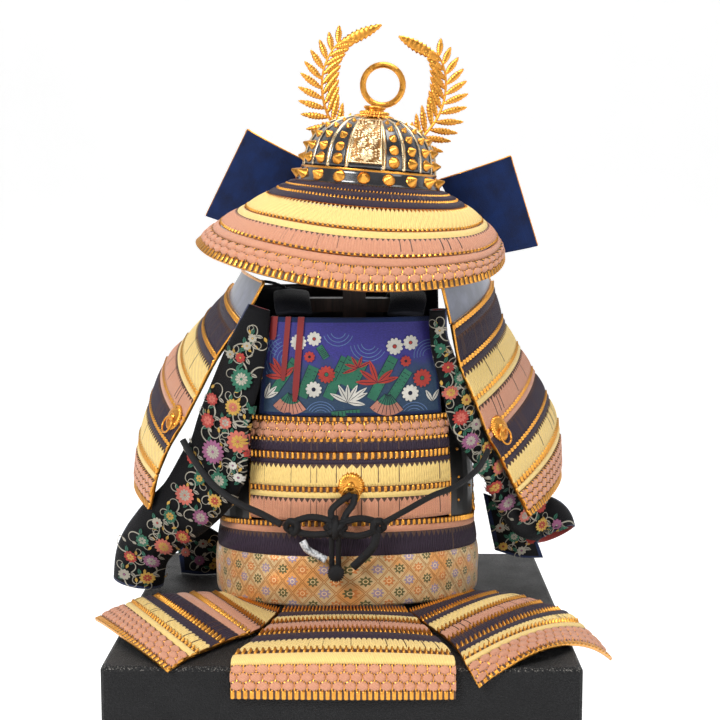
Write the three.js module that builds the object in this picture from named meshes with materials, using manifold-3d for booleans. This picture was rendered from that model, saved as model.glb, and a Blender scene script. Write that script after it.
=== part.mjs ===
// Display samurai armour on its black chest, seen from behind. Millimetres, +Z up.
// Origin: centre of the chest's bottom. +X is right in the photo, +Y is away from the camera.
import * as THREE from "three";
import Module from "manifold-3d";
import { mergeVertices } from "three/addons/utils/BufferGeometryUtils.js";

const wasm = await Module();
wasm.setup();

const DEG = Math.PI / 180;
const TAU = Math.PI * 2;
const GAP = 0.35;
const armour = new THREE.Group();

const COLOUR = {
  black: 0x1b1b1d,
  wood: 0x5a3a24,
  brocade: 0x2f3270,
  navy: 0x25324f,
  salmon: 0xe8a282,
  purple: 0x3a2a40,
  yellow: 0xf0d884,
  gold: 0xc98a35,
  sash: 0xe8be7c,
  grey: 0x6a747a,
  red: 0xa02a26,
  silver: 0xc9c2ae,
  cloth: 0x1c1a20,
};

// Small geometry tools

function at(x, y, z) {
  return new THREE.Vector3(x, y, z);
}

function add(name, geometry, colour, parent = armour) {
  const material = new THREE.MeshStandardMaterial({ color: colour, roughness: 0.6 });
  const mesh = new THREE.Mesh(geometry, material);
  mesh.name = name;
  parent.add(mesh);
  return mesh;
}

// A closed geometry from points and triangles, turned so that it faces outwards.
function solid(points, faces) {
  let volume = 0;
  for (const [a, b, c] of faces) {
    volume += points[a].dot(points[b].clone().cross(points[c]));
  }
  const index = faces.flatMap(([a, b, c]) => (volume < 0 ? [a, c, b] : [a, b, c]));
  const position = new Float32Array(points.flatMap((p) => [p.x, p.y, p.z]));
  const geometry = new THREE.BufferGeometry();
  geometry.setAttribute("position", new THREE.BufferAttribute(position, 3));
  geometry.setIndex(index);
  return geometry;
}

// A thin wall between two grids of points; closed runs the grid round to its start.
function wall(outer, inner, closed = false) {
  const rows = outer.length;
  const columns = outer[0].length;
  const points = [...outer.flat(), ...inner.flat()];
  const faces = [];
  const id = (side, j, i) => side * rows * columns + j * columns + (i % columns);
  const quad = (a, b, c, d) => faces.push([a, b, c], [a, c, d]);
  const last = closed ? columns : columns - 1;
  for (let i = 0; i < last; i += 1) {
    for (let j = 0; j < rows - 1; j += 1) {
      quad(id(0, j, i), id(0, j, i + 1), id(0, j + 1, i + 1), id(0, j + 1, i));
      quad(id(1, j, i), id(1, j + 1, i), id(1, j + 1, i + 1), id(1, j, i + 1));
    }
    quad(id(1, 0, i), id(1, 0, i + 1), id(0, 0, i + 1), id(0, 0, i));
    const end = rows - 1;
    quad(id(0, end, i), id(0, end, i + 1), id(1, end, i + 1), id(1, end, i));
  }
  if (!closed) {
    const side = columns - 1;
    for (let j = 0; j < rows - 1; j += 1) {
      quad(id(1, j, 0), id(0, j, 0), id(0, j + 1, 0), id(1, j + 1, 0));
      quad(id(0, j, side), id(1, j, side), id(1, j + 1, side), id(0, j + 1, side));
    }
  }
  return solid(points, faces);
}

// A solid skin over a list of rings, with a fan at both ends.
function loft(rings) {
  const count = rings[0].length;
  const points = rings.flat();
  const faces = [];
  for (let j = 0; j < rings.length - 1; j += 1) {
    for (let i = 0; i < count; i += 1) {
      const a = j * count + i;
      const b = j * count + ((i + 1) % count);
      faces.push([a, b, b + count], [a, b + count, a + count]);
    }
  }
  const centre = (ring) => ring.reduce((sum, p) => sum.add(p), at(0, 0, 0)).divideScalar(count);
  const first = points.push(centre(rings[0])) - 1;
  const final = points.push(centre(rings[rings.length - 1])) - 1;
  const tail = (rings.length - 1) * count;
  for (let i = 0; i < count; i += 1) {
    faces.push([first, (i + 1) % count, i]);
    faces.push([final, tail + i, tail + ((i + 1) % count)]);
  }
  return solid(points, faces);
}

function roundedRing(width, depth, radius, z, x = 0, y = 0, steps = 3) {
  const ring = [];
  for (let corner = 0; corner < 4; corner += 1) {
    const cx = (corner === 0 || corner === 3 ? 1 : -1) * (width / 2 - radius);
    const cy = (corner < 2 ? 1 : -1) * (depth / 2 - radius);
    for (let k = 0; k <= steps; k += 1) {
      const angle = (corner + k / steps) * 90 * DEG;
      ring.push(at(x + cx + radius * Math.cos(angle), y + cy + radius * Math.sin(angle), z));
    }
  }
  return ring;
}

// A round cord along a smooth line through the given points.
function cord(points, radius, segments, sides = 7, closed = false) {
  const curve = new THREE.CatmullRomCurve3(points.map((p) => at(...p)), closed, "centripetal");
  const frames = curve.computeFrenetFrames(segments, closed);
  const rings = [];
  for (let j = 0; j <= segments - (closed ? 1 : 0); j += 1) {
    const centre = curve.getPointAt(j / segments);
    const ring = [];
    for (let i = 0; i < sides; i += 1) {
      const angle = (i / sides) * TAU;
      const reach = frames.normals[j].clone().multiplyScalar(Math.cos(angle) * radius);
      reach.addScaledVector(frames.binormals[j], Math.sin(angle) * radius);
      ring.push(centre.clone().add(reach));
    }
    rings.push(ring);
  }
  return loft(rings);
}

// A body of revolution about `axis` through `centre`; profile rows are [radius, height].
function turned(centre, axis, profile, sides = 20) {
  const up = axis.clone().normalize();
  const seed = Math.abs(up.z) < 0.9 ? at(0, 0, 1) : at(1, 0, 0);
  const e1 = seed.clone().cross(up).normalize();
  const e2 = up.clone().cross(e1);
  return loft(
    profile.map(([radius, height]) =>
      Array.from({ length: sides }, (_, i) => {
        const angle = (i / sides) * TAU;
        return centre
          .clone()
          .addScaledVector(up, height)
          .addScaledVector(e1, radius * Math.cos(angle))
          .addScaledVector(e2, radius * Math.sin(angle));
      }),
    ),
  );
}

function toManifold(geometry) {
  const bare = new THREE.BufferGeometry();
  bare.setAttribute("position", geometry.getAttribute("position"));
  bare.setIndex(geometry.index);
  const merged = mergeVertices(bare, 1e-4);
  return new wasm.Manifold(
    new wasm.Mesh({
      numProp: 3,
      vertProperties: new Float32Array(merged.attributes.position.array),
      triVerts: new Uint32Array(merged.index.array),
    }),
  );
}

function fromManifold(body) {
  const mesh = body.getMesh();
  const geometry = new THREE.BufferGeometry();
  geometry.setAttribute("position", new THREE.BufferAttribute(new Float32Array(mesh.vertProperties), 3));
  geometry.setIndex(new THREE.BufferAttribute(new Uint32Array(mesh.triVerts), 1));
  return geometry;
}

function union(geometries) {
  return fromManifold(wasm.Manifold.union(geometries.map(toManifold)));
}

// Mixes neighbouring rows of a table with smooth slopes. Each row is [v, ...numbers].
function mixRows(table, v) {
  const last = table.length - 1;
  let k = 0;
  while (k < last - 1 && v > table[k + 1][0]) {
    k += 1;
  }
  const [a, b] = [table[k], table[k + 1]];
  const before = table[Math.max(k - 1, 0)];
  const after = table[Math.min(k + 2, last)];
  const h = b[0] - a[0];
  const t = (v - a[0]) / h;
  return a.slice(1).map((start, n) => {
    const end = b[n + 1];
    const slopeA = (end - before[n + 1]) / (b[0] - before[0]);
    const slopeB = (after[n + 1] - start) / (after[0] - a[0]);
    return (
      (2 * t ** 3 - 3 * t ** 2 + 1) * start +
      (t ** 3 - 2 * t ** 2 + t) * h * slopeA +
      (3 * t ** 2 - 2 * t ** 3) * end +
      (t ** 3 - t ** 2) * h * slopeB
    );
  });
}

// A surface over a table whose rows are [v, left xyz, middle xyz, right xyz].
function panelSurface(table) {
  return (u, v) => {
    const row = mixRows(table, v);
    const weight = [2 * (u - 0.5) * (u - 1), 4 * u * (1 - u), 2 * u * (u - 0.5)];
    const mixed = [0, 1, 2].map((n) => weight[0] * row[n] + weight[1] * row[n + 3] + weight[2] * row[n + 6]);
    return at(...mixed);
  };
}

function normalOf(surface, u, v, side) {
  const e = 0.004;
  const along = surface(Math.min(u + e, 1), v).sub(surface(Math.max(u - e, 0), v));
  const down = surface(u, Math.min(v + e, 1)).sub(surface(u, Math.max(v - e, 0)));
  return along.cross(down).normalize().multiplyScalar(side);
}

// A laced panel: lames that each lean outwards to their foot, over the top of the next one.
// lames: [v at the top, v at the foot, lift at the top, lift at the foot]
function lacedPanel(surface, lames, { columns, side, thick }) {
  const steps = lames.flatMap(([top, foot, rise, lift]) => [
    [top, rise],
    [foot, lift],
  ]);
  const grid = (extra) =>
    steps.map(([v, lift]) =>
      Array.from({ length: columns + 1 }, (_, i) => {
        const u = i / columns;
        return surface(u, v).addScaledVector(normalOf(surface, u, v, side), lift + extra);
      }),
    );
  return wall(grid(0), grid(-thick));
}

// Chest

const CHEST = { width: 400, depth: 380, height: 350, lid: 80, wall: 8, collar: 26, round: 7, edge: 4 };
{
  const { width: w, depth: d, height: h, lid, wall: t, collar, round: r, edge: e } = CHEST;
  const seam = h - lid - GAP;
  const step = 2 * (t + 0.6);
  add(
    "chest_body",
    loft([
      roundedRing(w - 2 * e, d - 2 * e, r, 0),
      roundedRing(w, d, r, e),
      roundedRing(w, d, r, seam),
      roundedRing(w - step, d - step, r - 2, seam),
      roundedRing(w - step, d - step, r - 2, seam + collar),
      roundedRing(w - step - 12, d - step - 12, r - 3, seam + collar),
      roundedRing(w - step - 12, d - step - 12, r - 3, 10),
    ]),
    COLOUR.black,
  );
  add(
    "chest_lid",
    loft([
      roundedRing(w - 2 * e, d - 2 * e, r, h),
      roundedRing(w - 0.6 * e, d - 0.6 * e, r, h - 0.3 * e),
      roundedRing(w, d, r, h - e),
      roundedRing(w, d, r, h - lid),
      roundedRing(w - 2 * t, d - 2 * t, r - 2, h - lid),
      roundedRing(w - 2 * t, d - 2 * t, r - 2, h - t),
    ]),
    COLOUR.black,
  );
}

// Stand inside the armour

const STAND = { x: 8, y: 52, post: 22, barHeight: 624, barWidth: 92, headHeight: 763.6, headRadius: 42 };
{
  const { x, y, post, barHeight, barWidth, headHeight, headRadius } = STAND;
  const floor = CHEST.height + GAP;
  add(
    "stand_foot_board",
    loft([
      roundedRing(130, 100, 10, floor, x, y),
      roundedRing(130, 100, 10, floor + 10, x, y),
      roundedRing(124, 94, 8, floor + 13, x, y),
    ]),
    COLOUR.wood,
  );
  const half = post / 2;
  const outline = new THREE.Shape();
  outline.moveTo(x - half, floor + 13 + GAP);
  outline.lineTo(x + half, floor + 13 + GAP);
  outline.lineTo(x + half, barHeight);
  outline.lineTo(x + barWidth / 2, barHeight);
  outline.lineTo(x + barWidth / 2, barHeight + 13);
  outline.lineTo(x + half, barHeight + 13);
  const neck = Math.asin(half / headRadius);
  outline.absarc(x, headHeight, headRadius, -Math.PI / 2 + neck, (3 * Math.PI) / 2 - neck, false);
  outline.lineTo(x - half, barHeight + 13);
  outline.lineTo(x - barWidth / 2, barHeight + 13);
  outline.lineTo(x - barWidth / 2, barHeight);
  outline.lineTo(x - half, barHeight);
  const board = new THREE.ExtrudeGeometry(outline, { depth: 20, bevelEnabled: false, curveSegments: 20 });
  board.rotateX(Math.PI / 2);
  board.translate(0, y + 10, 0);
  add("stand_post", board, COLOUR.wood);
}

// Body armour

const TORSO = { x: 1, y: 52, turn: 4 * DEG, power: 2.3 };

function torsoPoint(angle, a, b, z) {
  const power = 2 / TORSO.power;
  const x = a * Math.sign(Math.sin(angle)) * Math.abs(Math.sin(angle)) ** power;
  const y = -b * Math.sign(Math.cos(angle)) * Math.abs(Math.cos(angle)) ** power;
  const [c, s] = [Math.cos(TORSO.turn), Math.sin(TORSO.turn)];
  return at(TORSO.x + x * c - y * s, TORSO.y + x * s + y * c, z);
}

// A band of the body armour. rows: [half width, half depth, z] or [.., .., z at the back, z at the front].
function torsoBand(rows, from, to, columns, thick) {
  const closed = Math.abs(to - from) >= 359;
  const count = closed ? columns : columns + 1;
  const grid = (inset) =>
    rows.map(([a, b, zBack, zFront = zBack]) =>
      Array.from({ length: count }, (_, i) => {
        const angle = (from + ((to - from) * i) / columns) * DEG;
        const share = (1 - Math.cos(angle)) / 2;
        return torsoPoint(angle, a - inset, b - inset, zBack + (zFront - zBack) * share);
      }),
    );
  return wall(grid(0), grid(thick), closed);
}

// Rows of the body's bands: half width, half depth, z at the back, z at the front if it differs.
const WAIST_ROWS = [
  [122, 81.5, 436.6, 418],
  [124.8, 84.7, 407, 399],
  [122, 82, 386, 380],
];
const SIDE_ROWS = [
  [119, 77, 517, 505],
  [122.5, 81, 470],
  [122.5, 81, 437, 418.4],
];
const FRONT_ROWS = [
  [113, 72, 470, 626],
  [117, 75, 455, 548],
  [120, 78, 448, 500],
  [121.5, 80, 440, 455],
  [123, 81.5, 437, 418.4],
];

// name, colour, rows, from, to, columns, thickness
const BODY = [
  ["back_plate", COLOUR.brocade, [[108, 68, 624], [114, 74, 578], [119, 78, 533.6]], -43, 43, 10, 2.6],
  ["back_lame_knots", COLOUR.salmon, [[121, 79.5, 533.2], [122.5, 81, 501]], -46, 46, 10, 3],
  ["back_lame_yellow", COLOUR.yellow, [[122.5, 81, 500.6], [124, 82.5, 468.8]], -46, 46, 10, 3],
  ["back_lame_salmon", COLOUR.salmon, [[123.5, 82, 468.4], [124.6, 83.3, 437]], -46, 46, 10, 3],
  ["waist_lame", COLOUR.purple, WAIST_ROWS, 0, 360, 36, 2.8],
  ["side_plate_right", COLOUR.black, SIDE_ROWS, 47, 80, 5, 2.2],
  ["side_plate_left", COLOUR.black, SIDE_ROWS, -80, -47, 5, 2.2],
  ["front_lames", COLOUR.yellow, FRONT_ROWS, 82, 278, 22, 3],
];
for (const [name, colour, rows, from, to, columns, thick] of BODY) {
  add(name, torsoBand(rows, from, to, columns, thick), colour);
}

const SASH = { halfWidth: 128, halfDepth: 88, thick: 2.2, top: [404, 396], bottom: [356.3, 356.3] };
add(
  "sash",
  torsoBand(
    [
      [SASH.halfWidth - 0.8, SASH.halfDepth - 0.8, ...SASH.top],
      [SASH.halfWidth, SASH.halfDepth, 380],
      [SASH.halfWidth - 0.8, SASH.halfDepth - 0.8, ...SASH.bottom],
    ],
    0,
    360,
    36,
    SASH.thick,
  ),
  COLOUR.sash,
);

const STRAP = { width: 34, thick: 5 };
for (const [name, side, backX, frontX] of [
  ["shoulder_strap_left", -1, -47, -50],
  ["shoulder_strap_right", 1, 56, 52],
]) {
  const line = new THREE.CatmullRomCurve3([
    at(backX, -8, 627.3),
    at(backX + side * 3, 10, 639),
    at((backX + frontX) / 2 + side * 4, 48, 643.5),
    at(frontX + side * 2, 86, 631.6),
    at(frontX, 106.5, 603.5),
  ]);
  const grid = (extra) =>
    Array.from({ length: 13 }, (_, j) => {
      const p = line.getPoint(j / 12);
      const t = line.getTangent(j / 12);
      const n = at(0, -t.z, t.y).normalize();
      return [-0.5, 0, 0.5].map((k) =>
        p.clone().add(at(k * STRAP.width, 0, 0)).addScaledVector(n, extra - 3 * Math.abs(k)),
      );
    });
  add(name, wall(grid(STRAP.thick / 2), grid(-STRAP.thick / 2)), COLOUR.navy);
}

// Laced skirts that lie on the chest lid

// v, left xyz, middle xyz, right xyz
const SKIRTS = {
  skirt_back: {
    side: -1,
    table: [
      [0.0, -54, -28, 354, 3, -31, 355, 54, -28, 354],
      [0.3, -64, -80, 354, 5, -86, 359, 69, -80, 354],
      [0.6, -80, -140, 354, 5, -143, 359, 86, -140, 354],
      [0.8, -90, -178, 355, 5, -180, 358, 93, -178, 355],
      [0.88, -91, -193.5, 350, 5, -195.5, 352, 94, -193.5, 350],
      [1.0, -91, -196.5, 326, 5, -198.5, 326, 94, -196.5, 326],
    ],
  },
  skirt_left: {
    side: 1,
    table: [
      [0.0, -60, -42, 354, -92, -20, 356, -108, 14, 354],
      [0.2, -74, -100, 354.5, -110, -48, 362, -131, 9, 355.5],
      [0.45, -92, -122, 354.5, -137, -62, 363, -165, 5, 355.5],
      [0.65, -112, -153, 354.5, -160, -84, 363, -192, -8, 355.5],
      [0.8, -126, -175, 354.5, -173, -105, 363, -204, -30, 355.5],
      [1.0, -142, -198, 350, -193, -130, 359, -228, -58, 351],
    ],
  },
  skirt_right: {
    side: -1,
    table: [
      [0.0, 60, -44, 354, 95, -14, 356, 122, 24, 354],
      [0.25, 77, -92, 354.5, 124, -46, 362, 160, 5, 355.5],
      [0.45, 91, -128, 354.5, 144, -73, 362, 183, -20, 355.5],
      [0.62, 99, -166, 355, 158, -104, 362, 205, -46, 353],
      [0.78, 103, -193.5, 353, 168, -128, 361, 220, -60, 342],
      [1.0, 113, -198, 336, 181, -160, 360, 244, -64, 316],
    ],
  },
  skirt_front: {
    side: 1,
    table: [
      [0.0, -54, 134, 354, 0, 138, 355, 54, 134, 354],
      [0.5, -66, 165, 354.5, 0, 168, 357.5, 68, 165, 354.5],
      [0.7, -70, 184, 355.4, 0, 186, 357, 74, 184, 355.4],
      [0.8, -72, 195, 350, 0, 197, 352, 76, 195, 350],
      [1.0, -74, 196.5, 326, 0, 198.5, 326, 78, 196.5, 326],
    ],
  },
};
const SKIRT_LAMES = [
  [0.0, 0.22, -0.4, 0.8],
  [0.22, 0.4, 0.2, 1.2],
  [0.4, 0.58, 0.4, 1.4],
  [0.58, 0.74, 0.6, 1.6],
  [0.74, 0.88, 0.8, 1.8],
  [0.88, 1.0, 1.0, 1.8],
];
for (const [name, { side, table }] of Object.entries(SKIRTS)) {
  const geometry = lacedPanel(panelSurface(table), SKIRT_LAMES, { columns: 8, side, thick: 3.2 });
  add(name, geometry, COLOUR.salmon);
}

// Shoulder guards

// v, back edge xyz, front edge xyz
const GUARDS = {
  left: {
    side: 1,
    bow: -10,
    cap: [-76, 0, 655, -106, 138, 660],
    rows: [
      [0.0, -95, 0, 619, -114, 138, 644],
      [0.17, -120, 0, 584, -139, 138, 617],
      [0.33, -138, 0, 550, -163, 138, 591],
      [0.5, -151, 0, 525, -185, 138, 566],
      [0.67, -166, 0, 500, -198, 138, 533],
      [0.83, -177, 0, 474, -209, 138, 493],
      [1.0, -185, 0, 440, -213, 138, 448],
    ],
  },
  right: {
    side: -1,
    bow: 10,
    cap: [91, 0, 651, 140, 138, 662],
    rows: [
      [0.0, 99, 0, 616, 146, 138, 648],
      [0.17, 107, 0, 577, 157, 138, 611],
      [0.33, 121, 0, 545, 173, 138, 583],
      [0.5, 133, 0, 513, 189, 138, 557],
      [0.67, 148, 0, 486, 204, 138, 531],
      [0.83, 160, 0, 461, 216, 138, 500],
      [1.0, 174, 0, 434, 219, 138, 451],
    ],
  },
};
const GUARD_LAMES = [
  [0.0, 0.18, -1, 1],
  [0.18, 0.35, -0.2, 1.4],
  [0.35, 0.52, 0, 1.6],
  [0.52, 0.69, 0.2, 1.8],
  [0.69, 0.83, 0.4, 2],
];
const GUARD_LAST_LAME = [[0.8325, 1.0, 0.6, 2]];

// Middle of a row: half way between its ends, pushed out by the bow.
function withMiddle([v, x0, y0, z0, x1, y1, z1], bow) {
  return [v, x0, y0, z0, (x0 + x1) / 2 + bow, (y0 + y1) / 2, (z0 + z1) / 2 + Math.abs(bow) * 0.3, x1, y1, z1];
}

const guardSurface = {};
for (const [hand, { side, bow, cap, rows }] of Object.entries(GUARDS)) {
  const surface = panelSurface(rows.map((row) => withMiddle(row, bow)));
  guardSurface[hand] = surface;
  const make = { columns: 8, side, thick: 2.8 };
  add(`guard_${hand}_laced`, lacedPanel(surface, GUARD_LAMES, make), COLOUR.yellow);
  add(`guard_${hand}_last_lame`, lacedPanel(surface, GUARD_LAST_LAME, make), COLOUR.salmon);
  const top = rows[0].slice(1);
  const lift = top.map((value, n) => value + (cap[n] - value) * 0.02);
  const plate = panelSurface([
    withMiddle([0, ...cap], bow * 0.8),
    withMiddle([1, ...lift], bow),
  ]);
  const capSteps = [[0, 0.5, 0, 0], [0.5001, 1, 0, 0]];
  add(`guard_${hand}_cap`, lacedPanel(plate, capSteps, { columns: 8, side, thick: 2 }), COLOUR.grey);
}

// Helmet, in its own tilted frame

const helmet = new THREE.Group();
helmet.position.set(21, 47, 744);
helmet.rotation.set(0, 0.082, -0.059, "YZX");
armour.add(helmet);

const HELMET = {
  bandFoot: [69.5, 74],
  bandTop: [63.5, 68],
  bandHeight: 15,
  bowl: [62.5, 67],
  rise: 48.5,
  hole: 8,
};
// radius, height
const FINIAL_PROFILE = [
  [13, 0],
  [14.5, 1.6],
  [10, 4],
  [11.5, 5.6],
  [7, 7.6],
  [10.5, 9.6],
  [10.5, 11],
];

function oval(a, b, z, sides, from = 0, to = 360) {
  const closed = to - from >= 359;
  const count = closed ? sides : sides + 1;
  return Array.from({ length: count }, (_, i) => {
    const angle = (from + ((to - from) * i) / sides) * DEG;
    return at(a * Math.sin(angle), -b * Math.cos(angle), z);
  });
}

{
  const { bandFoot, bandTop, bandHeight, bowl, rise, hole } = HELMET;
  const band = (inset) => [
    oval(bandTop[0] - inset, bandTop[1] - inset, bandHeight, 36),
    oval(bandFoot[0] - inset, bandFoot[1] - inset, 0, 36),
  ];
  add("helmet_band", wall(band(0), band(2.2), true), COLOUR.black, helmet);
  const dome = (inset) =>
    Array.from({ length: 7 }, (_, j) => {
      const t = j / 6;
      const open = hole / bowl[0];
      const reach = open + (1 - open) * Math.sin((t * Math.PI) / 2) ** 0.8;
      const height = bandHeight + GAP + rise * Math.cos((t * Math.PI) / 2) ** 0.95;
      return oval((bowl[0] - inset) * reach, (bowl[1] - inset) * reach, height - inset * (1 - t), 32);
    });
  add("helmet_bowl", wall(dome(0), dome(2), true), COLOUR.black, helmet);
  const top = at(0.5, 0, bandHeight + rise + 0.7);
  add("helmet_finial", turned(top, at(0, 0, 1), FINIAL_PROFILE, 20), COLOUR.gold, helmet);
}

// Gilt plate up the back of the bowl, a little proud of it.
{
  const { bandHeight, bowl, rise } = HELMET;
  const plate = (extra) =>
    Array.from({ length: 7 }, (_, j) => {
      const t = 0.96 - (j / 6) * 0.66;
      const reach = 0.13 + 0.87 * Math.sin((t * Math.PI) / 2) ** 0.8;
      const height = bandHeight + 1 + rise * Math.cos((t * Math.PI) / 2) ** 0.95;
      const half = 9 + 7 * t;
      return Array.from({ length: 5 }, (_, i) => {
        const x = half * (i / 2 - 1);
        const round = Math.sqrt(1 - (x / (bowl[0] * reach)) ** 2);
        return at(x, -(bowl[1] + extra) * reach * round - extra * 0.3, height + extra * 0.4);
      });
    });
  add("helmet_back_plate", wall(plate(2.6), plate(0.5)), COLOUR.silver, helmet);
}

// Neck guard: rows hold [angle, reach, z, fullness] of its foot, from the back (0) to the ends.
const NECK_EDGE = [
  [-112, 150, -56, -0.05],
  [-85, 158, -65, -0.05],
  [-55, 153, -77, 0],
  [0, 137, -90, 0],
  [55, 138, -76, 0.05],
  [85, 135, -58, 0.09],
  [112, 128, -42, 0.09],
];
const NECK_FROM = -112;
const NECK_TO = 112;
// v, share of the way out, share of the way down
const NECK_PROFILE = [
  [0, 0, 0],
  [0.22, 0.28, 0.19],
  [0.48, 0.55, 0.43],
  [0.72, 0.8, 0.68],
  [1, 1, 1],
];

function neckSurface(u, v) {
  const angle = NECK_FROM + (NECK_TO - NECK_FROM) * u;
  const [reach, drop, full] = mixRows(NECK_EDGE, angle);
  const [share, down] = mixRows(NECK_PROFILE, v);
  const out = share + full * 4 * v * (1 - v);
  const r = angle * DEG;
  const start = [69.6, 74.1];
  const x = (start[0] + (reach - start[0]) * out) * Math.sin(r);
  const y = -(start[1] + (reach - start[1]) * out) * Math.cos(r);
  return at(x, y, -0.4 + (drop + 0.4) * down);
}

// name, colour, lames [v top, v foot, lift top, lift foot]
const NECK_LAMES = [
  [
    "neck_guard_purple",
    COLOUR.purple,
    [
      [0, 0.085, 0, 1.4],
      [0.085, 0.165, 0.4, 1.8],
      [0.165, 0.235, 0.8, 2],
    ],
  ],
  ["neck_guard_yellow", COLOUR.yellow, [[0.24, 0.48, 0.2, 1.8]]],
  ["neck_guard_salmon", COLOUR.salmon, [[0.485, 0.72, 0.4, 2]]],
  ["neck_guard_knots", COLOUR.salmon, [[0.725, 1, 0.6, 2]]],
];
for (const [name, colour, lames] of NECK_LAMES) {
  add(name, lacedPanel(neckSurface, lames, { columns: 24, side: 1, thick: 2.6 }), colour, helmet);
}

// A flat plate through four corners, thickened along its normal, with a slight bow.
function plate(corners, thick, bow, columns = 6, rows = 5) {
  const [a, b, c, d] = corners.map((p) => at(...p));
  const n = b.clone().sub(a).cross(d.clone().sub(a)).normalize();
  const grid = (extra) =>
    Array.from({ length: rows + 1 }, (_, j) => {
      const v = j / rows;
      return Array.from({ length: columns + 1 }, (_, i) => {
        const u = i / columns;
        const top = a.clone().lerp(b, u);
        const foot = d.clone().lerp(c, u);
        return top.lerp(foot, v).addScaledVector(n, extra + bow * 4 * u * (1 - u));
      });
    });
  return wall(grid(thick / 2), grid(-thick / 2));
}

// Each wing is the front end of the top lames, folded back: a root that runs on from the
// neck guard, then the wing itself. Corners: outer top, inner top, inner foot, outer foot.
const WINGS = {
  left: { end: -0.002, corners: [[-131, 82, 46], [-67, 80, 18.5], [-100, 84, -58], [-169, 92, -44]] },
  right: { end: 1.002, corners: [[135, 84, 41], [66, 82, 11.7], [112, 88, -62], [171, 94, -46]] },
};
for (const [hand, { end, corners }] of Object.entries(WINGS)) {
  const [outerTop, top, foot, outerFoot] = corners.map((p) => at(...p));
  const inside = outerTop.clone().lerp(outerFoot, 0.4);
  const onFold = (share) => top.clone().lerp(foot, share).lerp(inside, 0.04).toArray();
  const root = [neckSurface(end, 0.03), neckSurface(end, 0.22)].map((p) => p.toArray());
  const wing = plate([outerTop, top, foot, outerFoot].map((p) => p.toArray()), 3, hand === "left" ? -5 : 5);
  const run = plate([root[0], onFold(0.2), onFold(0.45), root[1]], 2, 0, 4, 2);
  add(`helmet_wing_${hand}`, union([wing, run]), COLOUR.navy, helmet);
}

// Peak at the front of the helmet, on the hidden side.
{
  const peak = (extra) =>
    [0, 0.5, 1].map((t) =>
      oval(69.5 + 15 * t, 74 + 36 * t, 3 - 9 * t + extra, 12, 132, 228),
    );
  add("helmet_peak", wall(peak(0), peak(-2)), COLOUR.black, helmet);
}

// Crest

const CREST_Y = 82;
function flat(outline, y, thick, curveSegments = 8) {
  const geometry = new THREE.ExtrudeGeometry(outline, { depth: thick, bevelEnabled: false, curveSegments });
  geometry.rotateX(Math.PI / 2);
  geometry.translate(0, y + thick, 0);
  return geometry;
}

// Fern frond: leaflets stand out on both sides of a curved rib. rib: [x, z] from the foot to the tip.
function frond(rib, leaflets, longest, stem) {
  const line = new THREE.CatmullRomCurve3(rib.map(([x, z]) => at(x, 0, z)), false, "centripetal");
  const foot = stem;
  const left = [];
  const right = [];
  for (let k = 0; k < leaflets; k += 1) {
    const reach = longest * (0.45 + 0.55 * Math.sin(Math.PI * Math.min(1, 0.22 + (k / leaflets) * 0.85)));
    for (const [share, size] of [
      [0.12, 2.2],
      [0.62, reach],
      [0.9, 2.2],
    ]) {
      const t = (k + share) / leaflets;
      const p = line.getPointAt(Math.min(t, 1));
      const d = line.getTangentAt(Math.min(t, 1));
      left.push([p.x - d.z * size + d.x * size * 0.25, p.z + d.x * size + d.z * size * 0.25]);
      right.push([p.x + d.z * size + d.x * size * 0.25, p.z - d.x * size + d.z * size * 0.25]);
    }
  }
  const end = line.getPointAt(1);
  const run = line.getTangentAt(1);
  const tip = [end.x + run.x * 7, end.z + run.z * 7];
  const shape = new THREE.Shape();
  const loop = [foot[0], ...left, tip, ...right.reverse(), foot[1]];
  loop.forEach(([x, z], n) => (n ? shape.lineTo(x, z) : shape.moveTo(x, z)));
  return flat(shape, CREST_Y, 1.4);
}

const FROND_LEFT = [
  [-38, 50],
  [-48, 62],
  [-55, 76],
  [-59, 92],
  [-59, 110],
  [-55, 124],
  [-48, 136],
  [-38, 146],
  [-25, 153],
  [-8, 157.5],
];
const FROND_RIGHT = [
  [38, 42],
  [49, 57],
  [58, 71],
  [63.5, 88],
  [64.5, 104],
  [62, 119],
  [55.5, 132],
  [46, 140.6],
  [33, 145.7],
  [17, 148],
];
add("crest_frond_left", frond(FROND_LEFT, 13, 15.5, [[-11, 20], [-6, 25]]), COLOUR.gold, helmet);
add("crest_frond_right", frond(FROND_RIGHT, 13, 15.5, [[6, 25], [11, 20]]), COLOUR.gold, helmet);
{
  const shape = new THREE.Shape();
  const outline = [[-13, 4], [13, 4], [13, 29], [4, 32], [4.5, 77.3], [-1.5, 77.3], [-4, 32], [-13, 29]];
  outline.forEach(([x, z], n) => (n ? shape.lineTo(x, z) : shape.moveTo(x, z)));
  const foot = new THREE.BoxGeometry(10, 9, 7);
  foot.translate(0, 77.4, 8);
  add("crest_holder", union([flat(shape, CREST_Y - 3.4, 3), foot]), COLOUR.gold, helmet);
  const ring = new THREE.TorusGeometry(20, 3.2, 10, 28);
  ring.rotateX(Math.PI / 2);
  ring.translate(1.7, CREST_Y - 1.6, 100.9);
  add("crest_ring", ring, COLOUR.gold, helmet);
}

// Sleeves

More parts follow.
